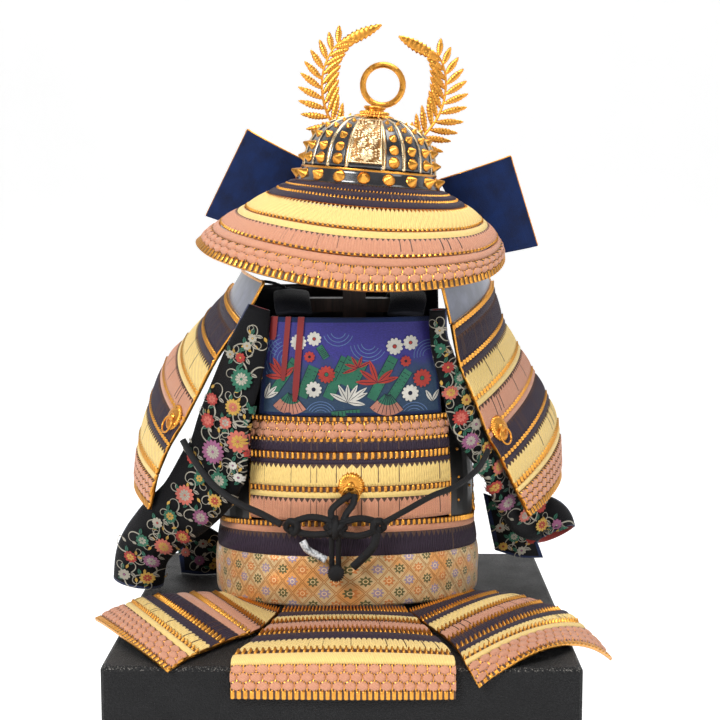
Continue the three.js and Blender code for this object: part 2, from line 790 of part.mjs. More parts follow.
// centre x, y, z, half width, half depth, turn about the run in degrees, slant of the cut
const SLEEVES = {
  left: [
    [-79, -10, 633, 11, 5, 12, 0],
    [-97, -12.5, 574, 26, 7.5, 36, 0],
    [-114, -11, 524, 34, 8, 44, 0],
    [-123, -10, 484, 38, 9, 34, 0],
    [-148, 4, 446, 31, 14, 12, 0],
    [-178, 26, 417, 28, 18, 0, 0],
    [-199, 44, 388, 26, 19, 0, 0],
    [-205, 50, 357.5, 25, 18, 0, 0],
  ],
  right: [
    [86, -10, 631, 8, 4.4, -8, 0],
    [88, -5.8, 600, 9.2, 5.2, -20, 0],
    [100.1, 3.5, 562, 14.4, 7.2, -44, 0],
    [115, 4, 522, 22, 8, -50, 0],
    [137, 16, 484, 25, 8, -66, 0],
    [154, 36, 454, 26, 11, -60, 0],
    [181, 62, 423, 25, 14, -20, 0],
    [202, 72, 413, 22, 16, -4, 7],
    [209, 74, 399, 21, 16, 0, 9],
  ],
};
const SLEEVE_GRID = { steps: 16, sides: 12, thick: 1.8 };
for (const [hand, stations] of Object.entries(SLEEVES)) {
  const table = stations.map((row, n) => [n / (stations.length - 1), ...row]);
  const { steps, sides, thick } = SLEEVE_GRID;
  const centreAt = (t) => at(...mixRows(table, t).slice(0, 3));
  const grid = (inset) =>
    Array.from({ length: steps + 1 }, (_, j) => {
      const t = j / steps;
      const [, , , half, depth, turn, slant] = mixRows(table, t);
      const along = centreAt(Math.min(t + 0.01, 1)).sub(centreAt(Math.max(t - 0.01, 0))).normalize();
      const across = at(along.z, 0, -along.x).normalize().applyAxisAngle(along, turn * DEG);
      const through = along.clone().cross(across);
      return Array.from({ length: sides }, (_, i) => {
        const angle = (i / sides) * TAU;
        const reach = Math.sin(angle);
        return centreAt(t)
          .addScaledVector(across, (half - inset) * Math.cos(angle))
          .addScaledVector(through, (depth - inset) * reach)
          .addScaledVector(along, slant * reach);
      });
    });
  add(`sleeve_${hand}`, wall(grid(0), grid(thick), true), COLOUR.cloth);
}

// Loose lower flaps of the sleeve cloth, standing behind the sleeves.
const FLAPS = {
  sleeve_left_flap: {
    side: 1,
    table: [
      [0, -168, 96, 408, -146, 90, 404, -124, 96, 390],
      [0.5, -172, 100, 380, -148, 94, 382, -126, 99, 372],
      [1, -170, 104, 350.5, -150, 98, 350.5, -130, 102, 350.5],
    ],
  },
  sleeve_right_flap: {
    side: 1,
    table: [
      [0, 136, 73.4, 440, 158, 75.4, 430, 182, 79.4, 410],
      [0.5, 144, 83.4, 404, 168, 81.4, 398, 192, 85.4, 388],
      [1, 150, 92, 378, 174, 88, 372, 199, 92, 370],
    ],
  },
};
for (const [name, { side, table }] of Object.entries(FLAPS)) {
  const steps = [[0, 0.33, 0, 0], [0.3301, 0.66, 0, 0], [0.6601, 1, 0, 0]];
  add(name, lacedPanel(panelSurface(table), steps, { columns: 6, side, thick: 1.8 }), COLOUR.cloth);
}

// Chrysanthemum mounts, bow cord, red ties

const MOUNT_PROFILE = [[13, 0], [13, 1.2], [10, 3], [4.5, 3.4], [3.5, 5], [1, 5.4]];

function chrysanthemum(name, centre, facing) {
  add(name, turned(centre, facing, MOUNT_PROFILE, 24), COLOUR.gold);
}

chrysanthemum("mount_back", at(5.5, -30.7, 470), at(0.03, -1, 0));
for (const [hand, u, v] of [
  ["left", 0.09, 0.53],
  ["right", 0.1, 0.52],
]) {
  const side = GUARDS[hand].side;
  const facing = normalOf(guardSurface[hand], u, v, side);
  const centre = guardSurface[hand](u, v).addScaledVector(facing, 2.2);
  chrysanthemum(`mount_${hand}`, centre, facing);
}

const CORD = 3.2;
const BOW = {
  loopLeft: [
    [-9, -50, 436],
    [-20, -49, 444],
    [-38, -47, 446],
    [-54, -46, 440],
    [-56, -46, 433],
    [-40, -47, 427],
    [-22, -50, 428],
    [-8, -52, 434],
  ],
  loopRight: [
    [-8, -50, 436],
    [2, -49, 443],
    [18, -47, 446],
    [32, -46, 441],
    [34, -46, 434],
    [20, -47, 428],
    [4, -50, 428],
    [-9, -52, 434],
  ],
  loopTop: [
    [-10, -50, 434],
    [-15, -46, 446],
    [-11, -41, 457],
    [-1, -38.4, 461.5],
    [7, -41, 457],
    [6, -45, 446],
    [-6, -50, 434],
  ],
  tailRight: [
    [30, -46, 432],
    [27, -48.5, 418],
    [21, -48, 410],
    [8, -47, 397],
  ],
  stem: [
    [-9, -51, 432],
    [-9, -48, 415],
    [-9, -45, 396],
  ],
  tailLeft: [
    [-38.5, -48, 421.7],
    [-34, -48, 414],
    [-26, -46, 408.5],
    [-17, -46, 403.5],
  ],
};
add(
  "bow_knot",
  union([
    cord(BOW.loopLeft, CORD, 18, 6),
    cord(BOW.loopRight, CORD, 18, 6),
    cord(BOW.loopTop, CORD, 14, 6),
    cord(BOW.tailRight, CORD + 0.8, 8, 6),
    cord(BOW.stem, 2.4, 6, 6),
    turned(at(-8, -57, 433), at(0, 1, 0), [[5, 0], [9, 1.5], [10, 5], [9, 9], [5, 11]], 14),
    turned(at(-8.5, -36.4, 391), at(0.05, -1, 0.12), [[3, 0], [5.5, 2], [6.5, 9], [7.5, 18], [6.5, 21]], 12),
  ]),
  COLOUR.black,
);
add("bow_tail_left", cord(BOW.tailLeft, CORD + 0.4, 8), COLOUR.silver);
const SIDE_CORD_LEFT = [
  [-57.5, -52, 438],
  [-75, -46, 446],
  [-100, -38, 456],
  [-124, -27, 472],
  [-142, -13, 492],
  [-152, -7, 508],
];
add("side_cord_left", cord(SIDE_CORD_LEFT, CORD, 16), COLOUR.black);
const SIDE_CORD_RIGHT = [
  [35.9, -50.6, 439.4],
  [56, -47, 450],
  [80, -40, 462],
  [104, -30, 470],
  [124, -19, 484],
  [134, -11, 500],
];
add("side_cord_right", cord(SIDE_CORD_RIGHT, CORD - 0.4, 16), COLOUR.black);

// Where the back plate's face lies, at x and z.
function backFace(x, z) {
  const rows = BODY[0][2].map(([a, b, height]) => [-height, a, b]);
  const [a, b] = mixRows(rows, -z);
  const across = x - TORSO.x - 5;
  const depth = b * (1 - Math.abs(across / a) ** TORSO.power) ** (1 / TORSO.power);
  return TORSO.y + across * Math.sin(TORSO.turn) - depth;
}

// name, x at the top, x at the foot, foot z, width
const TIE_TOP = 624.5;
const TIES = [
  ["tie_red_short", -65, -67, 603, 6.5],
  ["tie_red_middle", -52, -57, 566, 5],
  ["tie_red_long", -40, -46, 547, 6],
];
for (const [name, xTop, xFoot, zFoot, width] of TIES) {
  const grid = (extra) =>
    [0, 0.12, 0.3, 0.6, 0.85, 1].map((t) => {
      const x = xTop + (xFoot - xTop) * t;
      const z = TIE_TOP + (zFoot - TIE_TOP) * t;
      const half = (width / 2) * (t === 1 ? 0.6 : 1);
      const over = Math.max(0, z - 624) * 0.75 - 1.2;
      return [x - half, x + half].map((edge) => at(edge, backFace(edge, Math.min(z, 623)) + over + extra, z));
    });
  add(name, wall(grid(-0.8), grid(0.8)), COLOUR.red);
}

// Short cords that hang the shoulder guards on the straps.
add("guard_tie_left", cord([[-58, 46, 647.3], [-72, 47, 652], [-92.4, 48, 654]], 1.6, 8, 6), COLOUR.black);
add("guard_tie_right", cord([[64, 46, 647.3], [82, 47, 652], [104, 48, 654]], 1.6, 8, 6), COLOUR.black);

export default armour;
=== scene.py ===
"""Looks of a display samurai armour on its black chest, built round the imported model."""

import math

import bpy
import numpy as np
from mathutils import Euler, Matrix, Vector


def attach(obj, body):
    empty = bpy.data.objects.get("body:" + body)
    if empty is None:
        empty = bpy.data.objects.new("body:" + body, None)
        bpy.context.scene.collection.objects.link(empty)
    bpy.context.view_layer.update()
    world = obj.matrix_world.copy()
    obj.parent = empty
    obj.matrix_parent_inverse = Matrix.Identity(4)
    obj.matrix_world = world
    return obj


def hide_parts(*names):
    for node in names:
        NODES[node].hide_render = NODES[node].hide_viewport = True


bl_info = {
    "name": "Laced samurai armour",
    "version": (1, 0, 0),
    "blender": (4, 5, 0),
    "location": "View3D > Sidebar > Armour",
    "description": "Lacing, brocade, gilt and leather for a laced armour on its chest",
    "category": "Object",
}

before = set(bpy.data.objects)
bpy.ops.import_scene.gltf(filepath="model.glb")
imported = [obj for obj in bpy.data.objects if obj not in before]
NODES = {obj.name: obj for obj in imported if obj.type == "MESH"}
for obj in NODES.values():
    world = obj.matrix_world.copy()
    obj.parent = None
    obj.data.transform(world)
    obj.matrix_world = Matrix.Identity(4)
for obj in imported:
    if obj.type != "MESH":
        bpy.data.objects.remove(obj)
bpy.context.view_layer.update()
MM = 0.001
TAU = 2 * math.pi

# The helmet stands a little turned and tilted on the stand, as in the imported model.
HELMET_PLACE = Vector((21, 47, 744)) * MM
HELMET_TURN = Euler((0, 0.082, -0.059), "YZX")
HELMET = Matrix.Translation(HELMET_PLACE) @ HELMET_TURN.to_matrix().to_4x4()


# Small tools for materials


def new_material(name, sockets=None):
    """A material with one Principled shader, and its node tree. sockets: the shader's own values."""
    material = bpy.data.materials.new(name)
    material.use_nodes = True
    bsdf = material.node_tree.nodes["Principled BSDF"]
    for key, value in (sockets or {}).items():
        bsdf.inputs[key].default_value = value
    return material, material.node_tree, bsdf


def node(tree, kind, values=None, **settings):
    """Adds a shader node. values maps socket names or numbers to sockets or plain values."""
    made = tree.nodes.new("ShaderNode" + kind)
    for key, value in settings.items():
        setattr(made, key, value)
    for key, value in (values or {}).items():
        if isinstance(value, bpy.types.NodeSocket):
            tree.links.new(value, made.inputs[key])
        else:
            made.inputs[key].default_value = value
    return made


def calc(tree, operation, a, b=0.0, c=0.0):
    """A maths node on two or three values or sockets."""
    return node(tree, "Math", {0: a, 1: b, 2: c}, operation=operation).outputs[0]


def mix_colour(tree, share, a, b):
    """Colour a where share is 0 and colour b where it is 1."""
    made = node(tree, "Mix", data_type="RGBA")
    for key, value in ((0, share), (6, a), (7, b)):
        if isinstance(value, bpy.types.NodeSocket):
            tree.links.new(value, made.inputs[key])
        else:
            made.inputs[key].default_value = value if key == 0 else (*value[:3], 1)
    return made.outputs[2]


def ramp(tree, share, low, high, start=0.0, end=1.0):
    """share run through a straight slope from low at start to high at end."""
    values = {"Value": share, "From Min": start, "From Max": end, "To Min": low, "To Max": high}
    return node(tree, "MapRange", values).outputs[0]


def position(tree, scale=1.0):
    """The point in the object's own space, in units of 1/scale metres."""
    place = node(tree, "TexCoord").outputs["Object"]
    return node(tree, "VectorMath", {0: place, 3: scale}, operation="SCALE").outputs[0]


def noise(tree, vector, scale, detail=2.0, rough=0.5):
    """A noise texture's value."""
    values = {"Vector": vector, "Scale": scale, "Detail": detail, "Roughness": rough}
    return node(tree, "TexNoise", values).outputs["Fac"]


def bump(tree, bsdf, height, distance):
    """Fine relief from a height; distance is in metres."""
    values = {"Height": height, "Distance": distance, "Strength": 1.0}
    made = node(tree, "Bump", values)
    tree.links.new(made.outputs[0], bsdf.inputs["Normal"])


def cloth_uv(tree):
    """The woven coordinate of a cloth piece: x and y along it in millimetres."""
    parts = node(tree, "SeparateXYZ", {0: node(tree, "UVMap", uv_map="cloth").outputs[0]})
    return parts.outputs[0], parts.outputs[1]


# Materials


def silk(name, colour, shade, slant=0.0, pitch=0.8, sheen=0.25):
    """Silk braid. Fine threads run along it, or slant across it, with lighter and darker cords and painted
    shade in the grooves between its threads.
    """
    sockets = {
        "Roughness": 0.62,
        "Sheen Weight": sheen,
        "Sheen Roughness": 0.4,
        "Specular IOR Level": 0.3,
    }
    material, tree, bsdf = new_material(name, sockets)
    x, y = cloth_uv(tree)
    across = calc(tree, "MULTIPLY_ADD", y, slant, x)
    wave = calc(tree, "SINE", calc(tree, "MULTIPLY", across, math.pi / pitch))
    thread = calc(tree, "ABSOLUTE", wave)
    spots = noise(tree, position(tree, 1000), 0.35, 3)
    fine = noise(tree, position(tree, 1000), 2.4, 2)
    # Painted shade: the colour darkens towards the grooves between threads; the noise adds a random tone.
    depth = ramp(tree, thread, 0.75, 0.0, 0.0, 0.75)
    mottle_and_painted_light = calc(tree, "MULTIPLY_ADD", fine, 0.35, calc(tree, "MULTIPLY_ADD", spots, 0.5, depth))
    share = ramp(tree, mottle_and_painted_light, 0.0, 1.0, 0.25, 1.05)
    tree.links.new(mix_colour(tree, share, colour, shade), bsdf.inputs["Base Color"])
    bump(tree, bsdf, calc(tree, "MULTIPLY_ADD", fine, 0.4, thread), 0.00025)
    return material


def gilt(name, colour, rough=0.28, dark=(0.4, 0.15, 0.03)):
    """Gilt metal, a little uneven, with browner patches."""
    sockets = {"Metallic": 1.0}
    material, tree, bsdf = new_material(name, sockets)
    spots = noise(tree, position(tree, 1000), 0.22, 4, 0.6)
    share = ramp(tree, spots, 0.0, 0.34, 0.48, 0.78)
    tree.links.new(mix_colour(tree, share, colour, dark), bsdf.inputs["Base Color"])
    uneven = ramp(tree, spots, rough - 0.06, rough + 0.16, 0.3, 0.7)
    tree.links.new(uneven, bsdf.inputs["Roughness"])
    bump(tree, bsdf, noise(tree, position(tree, 1000), 1.1, 3), 0.00012)
    return material


def lacquer(name, colour, rough, coat=0.6):
    """Smooth lacquer over metal or hide, faintly uneven."""
    sockets = {"Coat Weight": coat, "Coat Roughness": 0.12}
    material, tree, bsdf = new_material(name, sockets)
    spots = noise(tree, position(tree, 1000), 0.05, 4)
    lighter = tuple(min(1.0, c * 2.2 + 0.006) for c in colour)
    share = ramp(tree, spots, 0.0, 0.7, 0.45, 0.8)
    tree.links.new(mix_colour(tree, share, colour, lighter), bsdf.inputs["Base Color"])
    tree.links.new(ramp(tree, spots, rough, rough + 0.12, 0.3, 0.7), bsdf.inputs["Roughness"])
    bump(tree, bsdf, noise(tree, position(tree, 1000), 0.35, 3), 0.0001)
    return material


# Height in mm of the lid's top edge, where a pale speckled highlight is painted on the leather.
LID_EDGE = 348.5


def leather(name, colour, grain, mottle_and_painted_light):
    """Black pebbled leather paper, with a pale speckled highlight painted near its top front edge."""
    sockets = {"Specular IOR Level": 0.16}
    material, tree, bsdf = new_material(name, sockets)
    place = position(tree, 1000)
    cells = node(tree, "TexVoronoi", {"Vector": place, "Scale": 1 / grain, "Randomness": 0.9})
    pebble = ramp(tree, cells.outputs["Distance"], 1.0, 0.0, 0.1, 0.75)
    spots = noise(tree, place, 0.03, 5)
    speck = noise(tree, place, 0.9, 2)
    height = node(tree, "SeparateXYZ", {0: place}).outputs[2]
    from_edge = calc(tree, "ABSOLUTE", calc(tree, "SUBTRACT", height, LID_EDGE))
    near_edge = ramp(tree, from_edge, 1.0, 0.0, 0.0, 2.4)
    # Painted highlight: pale specks in a band round the lid's top edge.
    painted_edge_highlight = calc(tree, "MULTIPLY", ramp(tree, speck, 0.0, 0.6, 0.58, 0.68), near_edge)
    share = calc(tree, "MULTIPLY", ramp(tree, spots, 0.0, 1.0, 0.35, 0.75), pebble)
    lighter = tuple(c * 2.2 + 0.004 for c in colour)
    base = mix_colour(tree, share, colour, lighter)
    tree.links.new(mix_colour(tree, painted_edge_highlight, base, mottle_and_painted_light), bsdf.inputs["Base Color"])
    tree.links.new(ramp(tree, spots, 0.4, 0.56, 0.3, 0.7), bsdf.inputs["Roughness"])
    bump(tree, bsdf, calc(tree, "MULTIPLY_ADD", speck, 0.3, pebble), 0.0005)
    return material


def wood(name, colour, dark):
    """Stained wood with grain along its height."""
    material, tree, bsdf = new_material(name)
    stretch = node(tree, "Mapping", {0: position(tree, 1000), 3: (1, 1, 0.08)}).outputs[0]
    grain = noise(tree, stretch, 0.25, 6, 0.65)
    share = ramp(tree, grain, 0.0, 1.0, 0.35, 0.7)
    tree.links.new(mix_colour(tree, share, colour, dark), bsdf.inputs["Base Color"])
    tree.links.new(ramp(tree, grain, 0.38, 0.6, 0.3, 0.7), bsdf.inputs["Roughness"])
    bump(tree, bsdf, grain, 0.0003)
    return material


def woven(name, colour, shade, pitch=0.7, sheen=0.2, rough=0.6, metallic=0.0, depth=0.00016):
    """Plain or brocade cloth: crossing threads, with soft patches of lighter and darker yarn."""
    sockets = {
        "Roughness": rough,
        "Metallic": metallic,
        "Sheen Weight": sheen,
        "Specular IOR Level": 0.12,
    }
    material, tree, bsdf = new_material(name, sockets)
    x, y = cloth_uv(tree)
    warp = calc(tree, "SINE", calc(tree, "MULTIPLY", x, TAU / pitch))
    weft = calc(tree, "SINE", calc(tree, "MULTIPLY", y, TAU / pitch))
    weave = calc(tree, "MULTIPLY_ADD", calc(tree, "MULTIPLY", warp, weft), 0.5, 0.5)
    spots = noise(tree, position(tree, 1000), 0.06, 3)
    fine = noise(tree, position(tree, 1000), 1.6, 2)
    mottle_and_painted_light = calc(tree, "MULTIPLY_ADD", fine, 0.4, calc(tree, "MULTIPLY_ADD", weave, 0.35, spots))
    share = ramp(tree, mottle_and_painted_light, 0.0, 1.0, 0.55, 1.15)
    tree.links.new(mix_colour(tree, share, colour, shade), bsdf.inputs["Base Color"])
    bump(tree, bsdf, calc(tree, "MULTIPLY_ADD", fine, 0.3, weave), depth)
    return material


# Small tools for shapes. A surface is a function of two arrays that gives points in metres.


def smooth_rows(table, v):
    """Rows of a table, [v, ...numbers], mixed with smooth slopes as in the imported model."""
    table = np.asarray(table, float)
    v = np.asarray(v, float)
    last = len(table) - 1
    k = np.clip(np.searchsorted(table[:, 0], v, side="left") - 1, 0, last - 1)
    before = table[np.maximum(k - 1, 0)]
    a, b = table[k], table[k + 1]
    after = table[np.minimum(k + 2, last)]
    h = b[..., :1] - a[..., :1]
    t = (v[..., None] - a[..., :1]) / h
    slope_a = (b - before) / (b[..., :1] - before[..., :1])
    slope_b = (after - a) / (after[..., :1] - a[..., :1])
    mixed = (
        (2 * t**3 - 3 * t**2 + 1) * a
        + (t**3 - 2 * t**2 + t) * h * slope_a
        + (3 * t**2 - 2 * t**3) * b
        + (t**3 - t**2) * h * slope_b
    )
    return mixed[..., 1:]


def unit(vectors):
    """The vectors, or the one vector, at length 1."""
    return vectors / np.linalg.norm(vectors, axis=-1, keepdims=True)


def run_along(points):
    """How far along a line each of its points is."""
    return np.concatenate([[0], np.cumsum(np.linalg.norm(np.diff(points, axis=0), axis=-1))])


def plane(*axes):
    """Woven coordinates from numbers along and down a cloth, one pair for each point."""
    return np.stack(np.broadcast_arrays(*axes), -1).reshape(-1, 2)


def both(u, v):
    """u and v as arrays of one shape."""
    u, v = np.broadcast_arrays(np.asarray(u, float), np.asarray(v, float))
    return u, v


def panel_surface(table):
    """A panel through rows of [v, left xyz, middle xyz, right xyz] in millimetres."""

    def surface(u, v):
        u, v = both(u, v)
        row = smooth_rows(table, v)
        weights = (2 * (u - 0.5) * (u - 1), 4 * u * (1 - u), 2 * u * (u - 0.5))
        return sum(w[..., None] * row[..., 3 * n : 3 * n + 3] for n, w in enumerate(weights)) * MM

    return surface


def normals(surface, u, v, side):
    """Unit vectors across the surface, on its outer side."""
    e = 0.004
    u, v = both(u, v)
    along = surface(np.minimum(u + e, 1), v) - surface(np.maximum(u - e, 0), v)
    down = surface(u, np.minimum(v + e, 1)) - surface(u, np.maximum(v - e, 0))
    across = np.cross(along, down) * side
    return across / np.maximum(np.linalg.norm(across, axis=-1, keepdims=True), 1e-12)


def offset(surface, side):
    """The surface moved out along its normals by a third number, in millimetres."""

    def moved(u, v, lift):
        lift = np.asarray(lift, float)
        return surface(u, v) + normals(surface, u, v, side) * lift[..., None] * MM

    return moved


def make_object(name, points, faces, materials, slots=None, cloth=None):
    """A mesh object from point, face and material number lists. cloth holds a uv for each point."""
    mesh = bpy.data.meshes.new(name)
    points = np.asarray(points, np.float32).reshape(-1, 3)
    blocks = [np.asarray(f, np.int32) for f in faces if len(f)]
    starts, totals, corners = [], [], []
    begun = 0
    for block in blocks:
        count, sides = block.shape
        starts.append(begun + np.arange(count) * sides)
        totals.append(np.full(count, sides))
        corners.append(block.ravel())
        begun += count * sides
    corners = np.concatenate(corners)
    mesh.vertices.add(len(points))
    mesh.vertices.foreach_set("co", points.ravel())
    mesh.loops.add(len(corners))
    mesh.loops.foreach_set("vertex_index", corners)
    mesh.polygons.add(sum(map(len, starts)))
    mesh.polygons.foreach_set("loop_start", np.concatenate(starts).astype(np.int32))
    mesh.polygons.foreach_set("loop_total", np.concatenate(totals).astype(np.int32))
    if slots is not None:
        mesh.polygons.foreach_set("material_index", np.asarray(slots, np.int32))
    mesh.polygons.foreach_set("use_smooth", np.full(len(mesh.polygons), True))
    if cloth is not None:
        layer = mesh.uv_layers.new(name="cloth")
        layer.data.foreach_set("uv", np.asarray(cloth, np.float32)[corners].ravel())
    for material in materials:
        mesh.materials.append(material)
    mesh.update(calc_edges=True)
    mesh.validate()
    made = bpy.data.objects.new(name, mesh)
    bpy.context.scene.collection.objects.link(made)
    return made


def grid_faces(rows, columns, start=0, flip=False, closed=False):
    """Quads over a grid of points, row by row; closed joins the last column to the first."""
    last = columns if closed else columns - 1
    j, i = np.meshgrid(np.arange(rows - 1), np.arange(last), indexing="ij")
    n = (i + 1) % columns
    above, below = j * columns, (j + 1) * columns
    quads = np.stack([above + i, above + n, below + n, below + i], -1).reshape(-1, 4) + start
    return quads[:, ::-1] if flip else quads


def zip_edges(first, second, flip=False):
    """Triangles between two lines of point numbers of different lengths."""
    faces = []
    i = j = 0
    n, m = len(first) - 1, len(second) - 1
    while i < n or j < m:
        if j == m or (i < n and (i + 1) / n <= (j + 1) / m):
            faces.append((first[i], first[i + 1], second[j]))
            i += 1
        else:
            faces.append((first[i], second[j + 1], second[j]))
            j += 1
    faces = np.array(faces)
    return faces[:, ::-1] if flip else faces


def finish_piece(made, replaced=(), body="root"):
    """Rides a piece on the part and hides the imported nodes that it stands for."""
    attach(made, body)
    if replaced:
        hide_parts(*replaced)
    return made


# Lacing: a strip of scales and cords worked out over a surface, zone by zone

# Rows of points that each kind of zone gets, for each of its repeats.
ZONE_ROWS = {"cords": 7, "heads": 5, "braid": 6, "knots": 8, "foot": 5}
# The hollow finish is painted shade: it darkens the gaps between gilt scale heads and feet and between
# knots, the row where cords come out below a lame, and the slits beside cords.
LACING_SLOTS = {"salmon": 0, "yellow": 1, "purple": 2, "gilt": 3, "hollow": 4, "back": 5}
KNOT_HEIGHT = 9.0
# Rows of knots stand this share of a knot's height apart.
KNOT_STEP = 0.75
# Share of the cords that show a slit of painted shade beside them, and the least detail that can draw one.
OPEN_CORDS = 0.09
SLIT_DETAIL = 6


def zones_from(start, words):
    """Zones that follow each other from start. words: kind, silk or -, v at its foot[, rows]."""
    zones = []
    for word in words.split(","):
        kind, silk_name, foot, *rest = word.split()
        zones.append((kind, silk_name, start, float(foot), *map(int, rest)))
        start = float(foot)
    return zones


def cords_relief(a, t, depth, _stand):
    """Pairs of soft cords that swell towards the next lame and tuck in behind its edge."""
    along = (2 * a) % 1
    round_cord = np.sqrt(np.maximum(0, 1 - (2 * along - 1) ** 2))
    swell = 0.5 + 1.0 * np.sin(np.pi * np.clip(t * 0.92 + 0.08, 0, 1)) ** 0.6 * (0.75 + 0.25 * t)
    return depth * (swell + 0.75 * round_cord)


def heads_relief(a, t, depth, stand):
    """Gilt scale heads with dark gaps; their upper edge stands proud of the cords above."""
    c = a % 1
    bar = np.clip(np.minimum(c, 0.52 - c) / 0.07, 0, 1)
    crown = 0.25 * np.sin(np.pi * np.clip(c / 0.52, 0, 1))
    return depth * (0.15 + bar * (1.35 + crown + stand * (1 - t)) + 0.35 * stand * (1 - t))


def braid_relief(a, t, depth, _stand):
    """A rope of braid lying along the lame, twisted once for each scale."""
    across = np.sqrt(np.maximum(0, 1 - (2 * t - 1) ** 2))
    twist = np.abs(np.sin(np.pi * (a - 0.6 * t)))
    return depth * (0.5 + 1.15 * across - 0.22 * (1 - twist) ** 2 * across)


def foot_relief(a, _t, depth, _stand):
    """The gilt feet of the scales, with dark gaps."""
    c = a % 1
    return depth * (0.3 + 0.9 * np.clip(np.minimum(c, 0.6 - c) / 0.08, 0, 1))


RELIEFS = {"cords": cords_relief, "heads": heads_relief, "braid": braid_relief, "foot": foot_relief}
# How much of each scale is gilt, where its heads and its feet show; the rest of each scale is painted shade.
GILT_SHARES = {"heads": 0.5, "foot": 0.6}


def knot_distance(a, mm_down, rows):
    """How far a point is from the middle of its knot: 1 at the knot's six-sided edge."""
    best = np.full(np.shape(a), 9.0)
    for row in range(rows):
        x = (a / 2 - 0.5 * (row % 2)) % 1 - 0.5
        y = mm_down - KNOT_HEIGHT * (0.5 + KNOT_STEP * row)
        across = np.abs(x) / 0.49
        best = np.minimum(best, np.maximum(across, np.abs(y) / (KNOT_HEIGHT / 2) + 0.5 * across))
    return best


def zone_points(zone, a, depth, stand):
    """v, lift and finish of the points of one zone, and how far down the zone each of them is."""
    kind, silk_name, top, foot, *rest = zone
    repeats = rest[0] if rest else 1
    count = ZONE_ROWS[kind] * repeats
    t = np.linspace(0, 1, count)[:, None]
    tooth = 0.2 * np.abs(2 * (a % 1) - 1) if kind == "cords" else 0.0
    v = top + (foot - top) * (t + tooth * (1 - t) * (1 - t))
    grid_a, grid_t, v = np.broadcast_arrays(a, t, v)
    # hollow: the finish of painted shade in the gaps between gilt scales and between knots.
    gilt_slot, hollow = LACING_SLOTS["gilt"], LACING_SLOTS["hollow"]
    if kind == "knots":
        high = KNOT_HEIGHT * (KNOT_STEP * (repeats - 1) + 1)
        far = knot_distance(grid_a, grid_t * high, repeats)
        pillow = np.clip((0.97 - far) / 0.5, 0, 1)
        lift = depth * (0.1 + 2.4 * np.sqrt(pillow * (2 - pillow)))
        between = np.where((2 * grid_a + 0.25) % 1 < 0.5, gilt_slot, hollow)
        return v, lift, np.where(far < 0.9, LACING_SLOTS[silk_name], between), grid_t
    lift = RELIEFS[kind](grid_a, grid_t, depth, stand)
    if kind in GILT_SHARES:
        return v, lift, np.where(grid_a % 1 < GILT_SHARES[kind], gilt_slot, hollow), grid_t
    return v, lift, np.full(grid_a.shape, LACING_SLOTS[silk_name]), grid_t


def lacing(name, surface, side, zones, heads, detail=8, base=0.6, depth=1.0, stand=0.5, thick=2.6):
    """Builds the laced front of a lame or panel and closes it with a plain lacquered back."""
    a = np.arange(heads * detail + 1) / detail
    u = a / heads
    rows_v, lifts, fills = [], [], []
    chance = np.random.default_rng(heads)
    for zone in zones:
        v, lift, fill, down = zone_points(zone, a, depth, stand)
        # The last row before a cords zone gets painted shade where the cords come out below the lame, and a
        # few cords get a slit of painted shade beside them.
        if zone[0] == "cords" and fills:
            fills[-1][-1] = LACING_SLOTS["hollow"]
            open_cords = chance.random(2 * heads + 1) < OPEN_CORDS
            slit = open_cords[np.minimum((2 * a).astype(int), 2 * heads)] & ((2 * a) % 1 < 0.2)
            if detail >= SLIT_DETAIL:
                fill = np.where(slit & (down < 0.8), LACING_SLOTS["hollow"], fill)
        rows_v.append(v)
        lifts.append(lift)
        fills.append(fill)
    v, lift, fill = (np.concatenate(parts) for parts in (rows_v, lifts, fills))
    front = offset(surface, side)(np.broadcast_to(u, v.shape), v, lift + base)
    back_v = np.unique([*(zone[2] for zone in zones), zones[-1][3]])
    grid_u, grid_v = np.meshgrid(np.linspace(0, 1, heads + 1), back_v)
    back = offset(surface, side)(grid_u, grid_v, np.full(grid_u.shape, base - thick))
    down = run_along(front[:, 0]) / MM
    width = run_along(front[len(v) // 2])[-1] / MM
    flip = side < 0
    number = np.arange(v.size).reshape(v.shape)
    behind = v.size + np.arange(grid_u.size).reshape(grid_u.shape)
    front_faces = grid_faces(*v.shape, 0, flip)
    back_faces = grid_faces(*grid_u.shape, v.size, not flip)
    rims = [
        zip_edges(number[0], behind[0], not flip),
        zip_edges(number[-1], behind[-1], flip),
        zip_edges(number[:, 0], behind[:, 0], flip),
        zip_edges(number[:, -1], behind[:, -1], not flip),
    ]
    back_slots = np.full(len(back_faces), LACING_SLOTS["back"])
    rim_slots = np.full(sum(map(len, rims)), LACING_SLOTS["gilt"])
    return make_object(
        name,
        np.concatenate([front.reshape(-1, 3), back.reshape(-1, 3)]),
        [front_faces, back_faces, *rims],
        shared("lacing", make_lacing_materials),
        np.concatenate([fill[:-1, :-1].ravel(), back_slots, rim_slots]),
        np.concatenate([plane(u * width, down[:, None]), plane(grid_u * width, grid_v * 100)]),
    )


_made = {}


def shared(key, build):
    """One material or list of materials, made the first time it is asked for."""
    if key not in _made:
        _made[key] = build()
    return _made[key]


def make_lacing_materials():
    """Makes the finishes of the laced pieces, in the order of LACING_SLOTS."""
    look = bpy.context.scene.armour_lacing
    return [
        silk("silk_salmon", tuple(look.salmon), (0.42, 0.16, 0.1), 0.5, 1.0),
        silk("silk_yellow", tuple(look.yellow), (0.62, 0.42, 0.14), 0.18, 1.25),
        silk("silk_purple", tuple(look.purple), (0.01, 0.005, 0.011), 0.18, 1.25, 0.06),
        gilt("gilt_scales", (0.74, 0.34, 0.06), 0.3),
        # Painted shade for the gaps between scales, knots and cords.
        lacquer("painted_shade_between_scales", (0.05, 0.018, 0.008), 0.5, 0.1),
        lacquer("lame_backs", (0.012, 0.01, 0.01), 0.3, 0.5),
    ]


